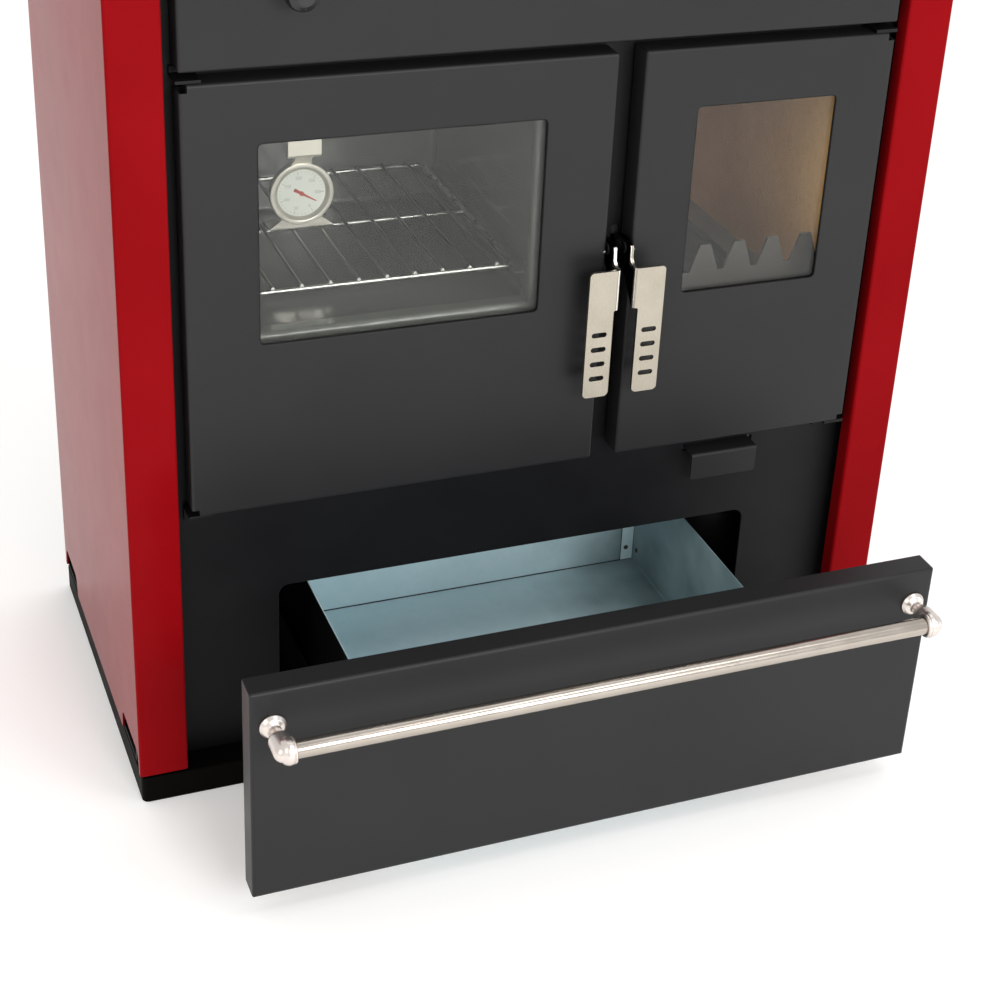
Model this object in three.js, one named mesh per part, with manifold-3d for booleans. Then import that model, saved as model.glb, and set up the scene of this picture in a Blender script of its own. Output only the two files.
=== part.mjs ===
// Wood cookstove: red sheet casing, oven door and fire door side by side, wood drawer below.
// Millimetres, +Z up, the front faces -Y, +X is the viewer's right.
// The origin is on the floor, under the middle of the casing.
import * as THREE from 'three';
import { mergeVertices } from 'three/addons/utils/BufferGeometryUtils.js';
import Module from 'manifold-3d';

const wasm = await Module();
wasm.setup();

// ---- driving dimensions ----
const gap = 0.3;                 // seating and running gap between neighbours

const width = 760;               // casing, side to side
const depth = 390;               // casing, front to back
const plinthHeight = 27.5;
const plinthInset = 1.5;
const plinthWall = 2.5;
const plinthLip = 36;            // inward lip that carries the body
const plinthCorner = 6;

const casingBottom = 30.5;
const casingTop = 806;
const casingSheet = 2;
const columnWidth = 45;          // front face of each side casing
const columnReturn = 17;         // its return towards the back
const rearFlange = 25;
const notchHeight = 22;          // lifting notches in the casing's lower edge
const notchFront = [6, 82];      // reach of each notch, behind the front plane
const notchRear = [316, 382];

const plateSetback = 28;         // front plate behind the column faces
const plateSheet = 3;
const bodySheet = 2;

const doorThickness = 25;
const doorBottom = 301;
const doorHeight = 393;
const doorSheet = 2;
const sideGap = 11;              // column to door
const middleGap = 25;            // between the doors, room for the latch levers
const ovenDoorWidth = 378;
const windowCorner = 5;
const ovenWindow = { side: 62.5, below: 159, height: 181 };
const fireWindow = { side: 53, below: 160, height: 179.5 };
const glassSheet = 4;
const glassLap = 12;             // glass behind the edge of its window
const glassClip = { inset: 10, lap: 8, width: 12 };
const linerSetback = 18.5;       // inner panel of a door behind its face
const linerSheet = 1.5;
const gasketInset = 14;
const gasketWidth = 10;
const hingeInset = 11;           // pin from the door's edge
const hingeSetback = 10;         // pin behind the door's face
const hingePinRadius = 2.5;
const hingePinLength = 14;
const hingeReturn = 21;          // shorter return on the hinge edge
const hingeNotch = [7, 6.5];
const hingeLug = 3;
const hingeBlock = [14, 12];     // width and height of the block that takes the pin
const hingeFoot = { outer: 13, inner: 8, height: 16, front: 2 };
const hingeTopGap = 1.2;         // bracket foot to the fascia above it

const drawerWidth = 646;
const drawerBottom = 29.2;
const drawerHeight = 214;
const drawerThickness = 25;
const drawerPulled = 189;        // how far the drawer stands out
const trayWidth = 400;
const trayBottom = 50;
const trayHeight = 116;
const traySheet = 1.2;
const trayRearGap = 11.1;        // tray to the body's rear when the drawer is shut
const drawerMouth = { width: 479, bottom: 44, top: 197, corner: 10, curve: 8 };
const roofHeight = 262;          // sheet over the drawer space
const runnerShelf = 24;
const runnerSheet = 2.5;
const runnerGuide = 26;          // guide above the shelf
const runnerFoot = 22;
const trayPlay = 1.5;            // tray to guide

const railInset = 19;            // flange centres from the drawer's edges
const railHeight = 209;
const railStandoff = 36;
const railRadius = 8;
const railWall = 1.2;
const railSocket = 7;             // how far the tube goes into its holder
const flangeRadius = 11.5;
const flangeHeight = 6;
const stemRadius = 4.5;
const holderRadius = 12;
const holderReach = [9.5, 5.5];  // holder inward and outward of its stem

// Oven: side from its door's edges, rear gap to the smoke duct.
const oven = { side: 54, bottom: 450, top: 655, rearGap: 1 };
const ovenSheet = 2;
const ovenRim = 8;
const ovenRimDepth = 3;
const rackHeight = 487;
const rackWire = 3;
const rackFrame = 4;
const rackMargin = 13;           // rack to the oven's side
const rackFrontSetback = 45;
const rackRearGap = 6;
const rackPitch = 25.8;
const rackMiddleSetback = 176;
const rackRunner = { width: 18, sheet: 2, ahead: 8, short: 6 };
const rackSink = 0.6;            // welded wires sunk into their frame

const thermometer = { fromSide: 91.3, setback: 168, radius: 30, dial: 22, cup: 10, centre: 34, height: 89 };
// Pointer outline about its pivot, pointing to +X, then turned to where it stands cold.
const needleAngle = -31 * Math.PI / 180;
const needle = { outline: [[-8, 1.6], [-8, -1.6], [16, -0.4], [16, 0.4]], hub: 2.2 };
const thermometerFoot = [60, 22];
const footTop = [17, 12];        // half width and height where the foot meets the cup
const hookPlate = { width: 31, height: 16.5, ahead: 10.5 };   // ahead of the foot's sheet
const hookNeck = { width: 16.5, lap: 4, over: 3 };   // lap: into the cup; over: behind the plate
const thermometerSheet = 1.2;
const bezelDepth = 1.5;          // foot's sheet behind the cup's rim
const cupRecess = 4;             // dial below the cup's rim
const dialSheet = 0.8;

// Firebox: sides beyond its door's edges.
const firebox = { left: 5, right: 9, bottom: 286, shelf: 400, rearGap: 15.4 };
const fireSheet = 3;
const fireMouth = { left: 29, right: 30, bottom: 328, top: 664 };
const liningBoard = 24.7;
const liningTop = 640;
const liningSetback = 45;        // front ends of the side boards
const grateHole = { left: 52, right: 57, front: 100, rear: 290 };   // sides: from the firebox walls
const grateRim = 15;
const grateLap = 5;
const grateThickness = 8;
const grateBars = 9;
const guard = { setback: 37, side: 3, valley: 463, peak: 490, pitch: 35.3, first: 15 };
const guardTooth = [11, 29];     // width at the tip and at the root
const guardSheet = 3;
const ashPan = { left: 28, right: 43, bottom: 326.3, height: 48, front: 45, length: 265, sheet: 1.5, lap: 9 };
const ashPanLip = { width: 60, reach: 9 };
const airSlide = { left: 88, width: 70, top: 280, sheet: 2, setback: 10, flap: 27.5, length: 203 };
const airHole = { front: 155, rear: 205, margin: 6 };
const airSlot = { side: 3, play: 2.5 };
const airGuide = { side: 8, track: 6, beyond: 20 };

const fasciaBottom = 704;
const fasciaTop = 803;
const hobOverhang = 6;
const hobFrameHeight = 42;
const hobFrameWidth = 40;
const hobFrameSheet = 2.5;
const hobLedge = 8;
const hobPlate = 8;
const hobHole = { side: 174, y: -2, radius: 105, ledge: 6, lid: 60 };
const lidSlot = { from: 26, to: 46, width: 8, depth: 4 };
const collar = { side: 150, rear: 109, radius: 60, wall: 2.5, height: 52, flange: 16, flangeSheet: 3 };
const flueBox = { width: 140, front: 4, depth: 71.4, stepHeight: 690, bottom: 300, sheet: 2 };
const damper = { z: 768, rod: 4, reach: 22, flapWidth: 96, flapHeight: 66, flapSheet: 3, hole: [84, 54] };
// Knob profile: radius, distance from its rear face.
const damperKnob = [[0, 0], [6, 0], [10.5, 5], [14, 12], [11.9, 20], [6.3, 24], [0, 25]];
const damperKnobStandoff = 8;

const latch = {
  pivotSetback: 12, pivotZ: 512, pin: 3, sheet: 2.5, clear: 3.2, gripTop: 503, gripBottom: 379,
};
const grip = { setback: -24, width: 30, foldBottom: 464, foldInset: 5, corner: 4, slots: 4, slotPitch: 14.5 };
const gripSlot = { width: 14.6, height: 4.8, lowest: 398, fromOuter: 12.5 };
const latchSlot = { width: 8, bottom: 484, top: 524 };
const keeper = { z: 513.6, side: 5, foot: 8, above: 12 };
// Lever side outline behind its grip: distance behind and above the pivot, down to the rear tongue.
const leverOutline = [
  [-26, -11], [-19, -5.5], [-21, 4], [-16, 9.5], [5, 9], [9, 3], [10, -4],
  [25, -4], [25, 1], [32, 1], [32, -12], [-6, -12],
];
const latchBolt = { shoulder: 2, behind: 4, end: 2 };

// ---- derived places ----
const half = width / 2;
const frontY = -depth / 2;
const backY = depth / 2;
const behind = (distance) => frontY + distance;
const innerHalf = half - casingSheet - gap;
const plateY = [behind(plateSetback), behind(plateSetback + plateSheet)];
const bodyFront = plateY[1] + gap;
const backPanelY = [backY - casingSheet - gap - bodySheet, backY - casingSheet - gap];
const bodyRear = backPanelY[0] - gap;
const seatZ = plinthHeight + gap;
const bodyTop = casingTop - gap;
const doorTop = doorBottom + doorHeight;
const ovenDoorX = [-half + columnWidth + sideGap, -half + columnWidth + sideGap + ovenDoorWidth];
const fireDoorX = [ovenDoorX[1] + middleGap, half - columnWidth - sideGap];
const drawerFaceY = frontY - drawerPulled;
const railSpan = drawerWidth - 2 * railInset;
const ovenX = [ovenDoorX[0] + oven.side, ovenDoorX[1] - oven.side];
const fireboxX = [fireDoorX[0] + firebox.left, fireDoorX[1] + firebox.right];
const fireboxRear = bodyRear - firebox.rearGap;
const ductY = bodyRear - flueBox.depth;
const collarAt = [-half + collar.side, backY - collar.rear];

// ---- materials ----
const paint = (color, roughness, metalness = 0) =>
  new THREE.MeshStandardMaterial({ color, roughness, metalness });
const red = paint(0x8e1b1e, 0.25);
const charcoal = paint(0x3c3c3f, 0.45);
const black = paint(0x1d1d1f, 0.5);
const stainless = paint(0xd2cdc4, 0.3, 1);
const chrome = paint(0xd9dadb, 0.1, 1);
const galvanised = paint(0x8fa3a8, 0.45, 1);
const greySteel = paint(0x77786f, 0.5, 1);
const castIron = paint(0x2a2a2b, 0.7, 0.6);
const lining = paint(0xb99a68, 0.9);
const glass = paint(0xbfc8c6, 0.05);
const rope = paint(0x6c6a66, 0.95);
const white = paint(0xf2f2ee, 0.5);
const needleRed = paint(0xa8281f, 0.5);

// ---- solids ----
function solid(geometry) {
  geometry.deleteAttribute('normal');
  geometry.deleteAttribute('uv');
  const merged = mergeVertices(geometry, 1e-4);
  return new wasm.Manifold(new wasm.Mesh({
    numProp: 3,
    vertProperties: new Float32Array(merged.attributes.position.array),
    triVerts: new Uint32Array(merged.index.array),
  }));
}

function block([x0, x1], [y0, y1], [z0, z1]) {
  const geometry = new THREE.BoxGeometry(x1 - x0, y1 - y0, z1 - z0);
  geometry.translate((x0 + x1) / 2, (y0 + y1) / 2, (z0 + z1) / 2);
  return solid(geometry);
}

// A shape drawn across an axis and drawn out along it: (y, z) for x, (x, z) for y, (x, y) for z.
function prism(shape, axis, [from, to], curveSegments = 4) {
  const geometry = new THREE.ExtrudeGeometry(shape, { depth: to - from, bevelEnabled: false, curveSegments });
  if (axis === 'x') {
    geometry.applyMatrix4(new THREE.Matrix4().makeBasis(
      new THREE.Vector3(0, 1, 0), new THREE.Vector3(0, 0, 1), new THREE.Vector3(1, 0, 0)));
    geometry.translate(from, 0, 0);
  } else if (axis === 'y') {
    geometry.rotateX(Math.PI / 2);
    geometry.translate(0, to, 0);
  } else {
    geometry.translate(0, 0, from);
  }
  return solid(geometry);
}

function polygon(points) {
  return new THREE.Shape(points.map(([u, v]) => new THREE.Vector2(u, v)));
}

function disc(u, v, radius) {
  return new THREE.Shape().absarc(u, v, radius, 0, 2 * Math.PI);
}

function roundedRect([u0, u1], [v0, v1], r) {
  const shape = new THREE.Shape();
  shape.moveTo(u0 + r, v0);
  shape.lineTo(u1 - r, v0);
  shape.absarc(u1 - r, v0 + r, r, -Math.PI / 2, 0);
  shape.lineTo(u1, v1 - r);
  shape.absarc(u1 - r, v1 - r, r, 0, Math.PI / 2);
  shape.lineTo(u0 + r, v1);
  shape.absarc(u0 + r, v1 - r, r, Math.PI / 2, Math.PI);
  shape.lineTo(u0, v0 + r);
  shape.absarc(u0 + r, v0 + r, r, Math.PI, 1.5 * Math.PI);
  return shape;
}

const rod = (axis, u, v, radius, span, sides = 16) =>
  prism(disc(u, v, radius), axis, span, sides / 2);

// A profile of (radius, height) pairs turned about an axis through the given point.
function turned(profile, axis, origin, sides = 24) {
  const geometry = new THREE.LatheGeometry(profile.map(([r, h]) => new THREE.Vector2(r, h)), sides);
  if (axis === 'z') geometry.rotateX(Math.PI / 2);
  if (axis === '-y') geometry.rotateX(Math.PI);
  if (axis === 'x') geometry.rotateZ(-Math.PI / 2);
  if (axis === '-x') geometry.rotateZ(Math.PI / 2);
  geometry.translate(...origin);
  return solid(geometry);
}

const join = (...solids) => solids.reduce((sum, next) => sum.add(next));
const cut = (body, ...tools) => tools.reduce((rest, tool) => rest.subtract(tool), body);
const grow = ([low, high], by) => [low - by, high + by];
const ordered = (a, b) => [Math.min(a, b), Math.max(a, b)];

const stove = new THREE.Group();
function addPart(name, body, material) {
  const { vertProperties, triVerts } = body.getMesh();
  const geometry = new THREE.BufferGeometry();
  geometry.setAttribute('position', new THREE.BufferAttribute(new Float32Array(vertProperties), 3));
  geometry.setIndex(new THREE.BufferAttribute(new Uint32Array(triVerts), 1));
  geometry.computeVertexNormals();
  const mesh = new THREE.Mesh(geometry, material);
  mesh.name = name;
  stove.add(mesh);
}

// ---- plinth and body sheets ----
{
  const outer = half - plinthInset;
  const outline = (by, corner) => roundedRect([-outer + by, outer - by], [frontY + by, backY - by], corner);
  addPart('plinth', cut(
    prism(outline(0, plinthCorner), 'z', [0, plinthHeight]),
    prism(outline(plinthWall, plinthCorner - plinthWall), 'z', [plinthWall, plinthHeight - plinthWall]),
    prism(outline(plinthLip, plinthCorner), 'z', [plinthWall, plinthHeight + 1]),
  ), black);
}

const floorTop = seatZ + bodySheet;
addPart('floor_panel', block([-innerHalf, innerHalf], [bodyFront, bodyRear], [seatZ, floorTop]), black);

function sideCasing(side) {
  const span = (a, b) => (side < 0 ? [-a, -b] : [b, a]);
  const z = [casingBottom, casingTop];
  const notch = ([from, to]) => prism(polygon([
    [behind(from), casingBottom - 1], [behind(to), casingBottom - 1],
    [behind(to) - notchHeight, casingBottom + notchHeight],
    [behind(from) + notchHeight, casingBottom + notchHeight],
  ]), 'x', span(half + 1, half - casingSheet - 1));
  return cut(
    join(
      block(span(half, half - casingSheet), [frontY, backY], z),
      block(span(half, half - columnWidth), [frontY, behind(casingSheet)], z),
      block(span(half - columnWidth + casingSheet, half - columnWidth), [frontY, behind(columnReturn)], z),
      block(span(half, half - rearFlange), [backY - casingSheet, backY], z)),
    notch(notchFront), notch(notchRear));
}
addPart('side_casing_left', sideCasing(-1), red);
addPart('side_casing_right', sideCasing(1), red);

addPart('back_panel', block([-innerHalf, innerHalf], backPanelY, [seatZ, bodyTop]), black);

const ovenMouthX = grow(ovenX, ovenSheet + gap);
const ovenMouthZ = grow([oven.bottom, oven.top], ovenSheet + gap);
const latchX = [ovenDoorX[1] + latch.clear, ovenDoorX[1] + latch.clear + latch.sheet];
const fireLatchX = [fireDoorX[0] - latch.clear - latch.sheet, fireDoorX[0] - latch.clear];
const airSlideX = [fireDoorX[0] + airSlide.left, fireDoorX[0] + airSlide.left + airSlide.width];
{
  const through = grow(plateY, 1);
  const slotFor = ([x0, x1]) => block(
    [(x0 + x1 - latchSlot.width) / 2, (x0 + x1 + latchSlot.width) / 2], through,
    [latchSlot.bottom, latchSlot.top]);
  addPart('front_plate', cut(
    block([-innerHalf, innerHalf], plateY, [seatZ, bodyTop]),
    block(ovenMouthX, through, ovenMouthZ),
    block([fireDoorX[0] + fireMouth.left, fireDoorX[1] - fireMouth.right], through,
      [fireMouth.bottom, fireMouth.top]),
    prism(roundedRect([-drawerMouth.width / 2, drawerMouth.width / 2], [drawerMouth.bottom, drawerMouth.top],
      drawerMouth.corner), 'y', through, drawerMouth.curve),
    block(grow(airSlideX, airSlot.side), through,
      grow([airSlide.top - airSlide.sheet, airSlide.top], airSlot.play)),
    slotFor(latchX),
    slotFor(fireLatchX),
    rod('y', collarAt[0], damper.z, damper.rod + gap, through),
  ), black);
}

addPart('compartment_roof',
  block([-innerHalf, innerHalf], [bodyFront, bodyRear], [roofHeight, roofHeight + bodySheet]), greySteel);
const roofTop = roofHeight + bodySheet;

{
  const returns = plateSetback - gap;
  const x = [ovenDoorX[0], fireDoorX[1]];
  const z = [fasciaBottom, fasciaTop];
  addPart('top_fascia', cut(
    block(x, [frontY, behind(returns)], z),
    block(grow(x, -doorSheet), [behind(doorSheet), behind(returns) + 1], grow(z, -doorSheet)),
    rod('y', collarAt[0], damper.z, damper.rod + gap, [frontY - 1, behind(doorSheet) + 1]),
  ), charcoal);
}

// ---- doors ----
const eitherSide = (hinge, a, b) => (hinge < 0 ? [a, b] : [-b, -a]);

function addDoor(prefix, x, hinge, window) {
  const z = [doorBottom, doorTop];
  const edge = hinge < 0 ? x[0] : x[1];
  const fromEdge = (a, b) => eitherSide(hinge, a, b).map((d) => edge + d);
  const pinX = edge - hinge * hingeInset;
  const pinY = behind(hingeSetback);
  const windowX = [x[0] + window.side, x[1] - window.side];
  const windowZ = [doorBottom + window.below, doorBottom + window.below + window.height];
  const ends = [[doorTop, -1], [doorBottom, 1]];

  const shell = cut(
    block(x, [frontY, behind(doorThickness)], z),
    block(grow(x, -doorSheet), [behind(doorSheet), behind(doorThickness) + 1], grow(z, -doorSheet)),
    prism(roundedRect(windowX, windowZ, windowCorner), 'y', [frontY - 1, behind(doorSheet) + 1], 3),
    block(fromEdge(-1, doorSheet + 1), [behind(hingeReturn), behind(doorThickness) + 1], grow(z, 1)));
  const blocks = ends.map(([end, inward]) => {
    const span = ordered(end + inward * doorSheet, end + inward * (doorSheet + hingeBlock[1]));
    return block(fromEdge(doorSheet, 2 * doorSheet + hingeBlock[0]),
      [behind(doorSheet), behind(linerSetback - gap)], span);
  });
  const lever = latch.clear + latch.sheet;
  const freeEdge = hinge < 0 ? x[1] : x[0];
  const boltReach = eitherSide(-hinge, -doorSheet - latchBolt.behind, 1).map((d) => freeEdge - d);
  addPart(`${prefix}_door`, cut(
    join(shell, ...blocks),
    ...ends.map(([end, inward]) => block(fromEdge(-1, hingeNotch[0]), [frontY - 1, behind(doorThickness) + 1],
      ordered(end - inward, end + inward * hingeNotch[1]))),
    ...ends.map(([end, inward]) => rod('z', pinX, pinY, hingePinRadius + gap,
      ordered(end - inward, end + inward * (hingePinLength + 2)))),
    rod('x', behind(latch.pivotSetback), latch.pivotZ, latch.pin + gap, ordered(...boltReach)),
  ), charcoal);

  const glassX = grow(windowX, glassLap);
  const glassZ = grow(windowZ, glassLap);
  const glassY = [behind(doorSheet + gap), behind(doorSheet + gap + glassSheet)];
  addPart(`${prefix}_glass`, block(glassX, glassY, glassZ), glass);

  for (const [place, edgeZ, outward] of [['top', glassZ[1], 1], ['bottom', glassZ[0], -1]]) {
    const lap = ordered(edgeZ - outward * glassClip.lap, edgeZ + outward * glassClip.width);
    const spacer = ordered(edgeZ + outward * gap, edgeZ + outward * glassClip.width);
    const strip = grow(glassX, -glassClip.inset);
    addPart(`${prefix}_glass_clip_${place}`, join(
      block(strip, [glassY[1] + gap, glassY[1] + gap + linerSheet], lap),
      block(strip, [glassY[0], glassY[1] + gap + linerSheet], spacer),
    ), greySteel);
  }

  const linerX = grow(x, -doorSheet - gap);
  const linerZ = grow(z, -doorSheet - gap);
  const linerY = [behind(linerSetback), behind(linerSetback + linerSheet)];
  const corner = ends.map(([end, inward]) => block(fromEdge(-1, hingeNotch[0] + gap), grow(linerY, 1),
    ordered(end - inward, end + inward * (hingeNotch[1] + gap))));
  addPart(`${prefix}_door_liner`, cut(
    block(linerX, linerY, linerZ),
    block(glassX, grow(linerY, 1), glassZ),
    ...corner,
  ), black);

  const gasketX = grow(x, -gasketInset);
  const gasketZ = grow(z, -gasketInset);
  const gasketY = [linerY[1] + gap, behind(plateSetback) - gap];
  addPart(`${prefix}_door_gasket`, cut(
    block(gasketX, gasketY, gasketZ),
    block(grow(gasketX, -gasketWidth), grow(gasketY, 1), grow(gasketZ, -gasketWidth)),
  ), rope);

  // Hinge brackets on the front plate: a lug above and below the door, each with its pin.
  for (const [place, end, inward] of [['top', doorTop, -1], ['bottom', doorBottom, 1]]) {
    const lugZ = ordered(end - inward * gap, end - inward * (gap + hingeLug));
    const lugX = ordered(pinX + hinge * hingeFoot.outer, pinX - hinge * hingeFoot.inner);
    const flangeZ = place === 'top'
      ? [lugZ[0], fasciaBottom - hingeTopGap]
      : [lugZ[1] - hingeFoot.height, lugZ[1]];
    addPart(`${prefix}_hinge_${place}`, join(
      block(lugX, [behind(hingeFoot.front), behind(plateSetback) - gap], lugZ),
      block(lugX, [behind(plateSetback) - gap - hingeLug, behind(plateSetback) - gap], flangeZ),
      rod('z', pinX, pinY, hingePinRadius, ordered(end - inward * (gap + 1), end + inward * hingePinLength)),
    ), greySteel);
  }

  addLatch(prefix, hinge, freeEdge, lever);
}

// A latch lever hangs beside the free edge of its door. Its front is folded into the grip plate,
// its rear is a tongue that reaches through the front plate to the keeper.
function addLatch(prefix, hinge, freeEdge, lever) {
  const beyond = (a, b) => eitherSide(hinge, a, b).map((d) => freeEdge + d);
  const legX = beyond(latch.clear, lever);
  const p = latch.pivotSetback;
  const leg = polygon([
    [grip.setback, grip.foldBottom], [grip.setback, latch.gripTop],
    ...leverOutline.map(([y, z]) => [p + y, latch.pivotZ + z]),
    [grip.setback + 2 * latch.sheet, grip.foldBottom],
  ].map(([y, z]) => [behind(y), z]));
  const lip = eitherSide(hinge, lever - grip.width, lever).map((d) => freeEdge + d);
  const outer = hinge < 0 ? lip[0] : lip[1];
  const inner = hinge < 0 ? lip[1] : lip[0];
  const toward = hinge < 0 ? 1 : -1;
  const plateSpan = [behind(grip.setback), behind(grip.setback + latch.sheet)];
  const plate = cut(
    prism(roundedRect(lip, [latch.gripBottom, latch.gripTop], grip.corner), 'y', plateSpan, 2),
    block(ordered(inner - toward * grip.foldInset, inner + toward), grow(plateSpan, 1),
      [latch.gripBottom - 1, grip.foldBottom]),
    ...Array.from({ length: grip.slots }, (_, i) => {
      const middle = outer + toward * gripSlot.fromOuter;
      const z = gripSlot.lowest + i * grip.slotPitch;
      const slot = roundedRect(grow([middle, middle], gripSlot.width / 2), grow([z, z], gripSlot.height / 2),
        gripSlot.height / 2 - 0.05);
      return prism(slot, 'y', grow(plateSpan, 1), 2);
    }));
  addPart(`${prefix}_handle`, cut(
    join(prism(leg, 'x', legX), plate),
    rod('x', behind(p), latch.pivotZ, latch.pin + gap, grow(legX, 1)),
  ), stainless);
  const shank = (a, b, radius) => rod('x', behind(p), latch.pivotZ, radius, beyond(a, b));
  addPart(`${prefix}_latch_bolt`, join(
    shank(-doorSheet - latchBolt.behind, lever + 1, latch.pin),
    shank(-doorSheet - latchBolt.behind, -doorSheet - gap, latch.pin + latchBolt.shoulder),
    shank(gap, latch.clear - gap, latch.pin + latchBolt.shoulder),
    shank(lever + gap, lever + gap + latchBolt.end, latch.pin + latchBolt.shoulder),
  ), greySteel);
}

addDoor('oven', ovenDoorX, -1, ovenWindow);
addDoor('fire', fireDoorX, 1, fireWindow);

// The keeper spans both latch slots behind the front plate; the tongues' tips pass just under its edge.
{
  const x = [latchX[0] - keeper.side, fireLatchX[1] + keeper.side];
  addPart('latch_keeper', join(
    block(x, [bodyFront, bodyFront + bodySheet], [keeper.z, latchSlot.top + keeper.above]),
    block(x, [bodyFront, bodyFront + keeper.foot], [keeper.z, keeper.z + bodySheet]),
  ), greySteel);
}

// ---- oven ----
{
  const x = ovenX;
  const z = [oven.bottom, oven.top];
  const y = [plateY[0] - gap - ovenRimDepth, ductY - oven.rearGap];
  const walls = block(grow(x, ovenSheet), y, grow(z, ovenSheet));
  const rim = block(grow(x, ovenRim), [y[0], plateY[0] - gap], grow(z, ovenRim));
  addPart('oven_liner', cut(
    join(walls, rim),
    block(x, [y[0] - 1, y[1] - ovenSheet], z),
  ), greySteel);

  const rackX = grow(ovenX, -rackMargin);
  const rackY = [behind(rackFrontSetback), y[1] - ovenSheet - rackRearGap];
  const runnerTop = rackHeight - rackFrame / 2 - gap;
  const runnerY = [rackY[0] - rackRunner.ahead, rackY[1] - rackRunner.short];
  const runnerZ = [runnerTop - rackRunner.sheet, runnerTop];
  const runner = (from, to) => block([from, to], runnerY, runnerZ);
  addPart('rack_runner_left', runner(ovenX[0] + gap, ovenX[0] + rackRunner.width), greySteel);
  addPart('rack_runner_right', runner(ovenX[1] - rackRunner.width, ovenX[1] - gap), greySteel);
  const frameZ = [rackHeight - rackFrame / 2, rackHeight + rackFrame / 2];
  const wireZ = [frameZ[1] - rackSink, frameZ[1] - rackSink + rackWire];
  const middle = (rackX[0] + rackX[1]) / 2;
  const beside = Math.floor(((rackX[1] - rackX[0]) / 2 - rackFrame) / rackPitch);
  const wires = Array.from({ length: 2 * beside + 1 }, (_, i) => {
    const wireX = middle + (i - beside) * rackPitch;
    return block([wireX - rackWire / 2, wireX + rackWire / 2], rackY, wireZ);
  });
  addPart('oven_rack', join(
    block(rackX, [rackY[0], rackY[0] + rackFrame], frameZ),
    block(rackX, [rackY[1] - rackFrame, rackY[1]], frameZ),
    block(rackX, [behind(rackMiddleSetback), behind(rackMiddleSetback) + rackWire],
      grow(frameZ, -rackSink / 2)),
    block([rackX[0], rackX[0] + rackFrame], rackY, frameZ),
    block([rackX[1] - rackFrame, rackX[1]], rackY, frameZ),
    ...wires,
  ), chrome);
}

// Dial thermometer standing on the rack.
{
  const base = rackHeight + rackFrame / 2 - rackSink + rackWire + gap;
  const t = thermometer;
  const y = behind(t.setback);
  const x = ovenX[0] + t.fromSide;
  const centre = [x, y, base + t.centre];
  const sheetFront = y - t.cup / 2 + bezelDepth;
  const sheet = [sheetFront, sheetFront + thermometerSheet];
  const cup = turned([
    [0, -t.cup / 2], [t.radius - 3, -t.cup / 2], [t.radius, -t.cup / 2 + 3], [t.radius, t.cup / 2 - 1],
    [t.radius - 1, t.cup / 2], [t.dial + 2, t.cup / 2 - 1], [t.dial + 1, t.cup / 2 - cupRecess],
    [0, t.cup / 2 - cupRecess],
  ], '-y', centre, 32);
  const foot = join(
    prism(polygon([[x - footTop[0], base + footTop[1]], [x - thermometerFoot[0] / 2, base],
      [x + thermometerFoot[0] / 2, base], [x + footTop[0], base + footTop[1]]]), 'y', sheet),
    block([x - thermometerFoot[0] / 2, x + thermometerFoot[0] / 2],
      [sheet[0], sheet[0] + thermometerFoot[1]], [base, base + thermometerSheet]));
  const plateFront = sheet.map((from) => from - hookPlate.ahead);
  const plateZ = [base + t.height - hookPlate.height, base + t.height];
  const neckZ = [centre[2] + t.radius - hookNeck.lap, plateZ[0] + hookNeck.over];
  const hook = join(
    prism(polygon([[sheet[0], neckZ[0]], [sheet[1], neckZ[0]], [plateFront[1], neckZ[1]],
      [plateFront[0], neckZ[1]]]), 'x', grow([x, x], hookNeck.width / 2)),
    block(grow([x, x], hookPlate.width / 2), plateFront, plateZ));
  addPart('thermometer_case', join(cup, foot, hook), stainless);
  const dialY = y - t.cup / 2 + cupRecess - gap;
  addPart('thermometer_dial', rod('y', centre[0], centre[2], t.dial, [dialY - dialSheet, dialY], 32), white);
  const turn = new THREE.Vector2(centre[0], centre[2]);
  const pointer = needle.outline.map(([u, v]) => {
    const point = new THREE.Vector2(u, v).rotateAround(new THREE.Vector2(), needleAngle);
    return [point.x + turn.x, point.y + turn.y];
  });
  const needleY = [dialY - 2.2, dialY - 1.4];
  addPart('thermometer_needle', join(
    prism(polygon(pointer), 'y', needleY),
    rod('y', turn.x, turn.y, needle.hub, [needleY[0] - 0.2, needleY[1]], 12),
  ), needleRed);
}

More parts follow.
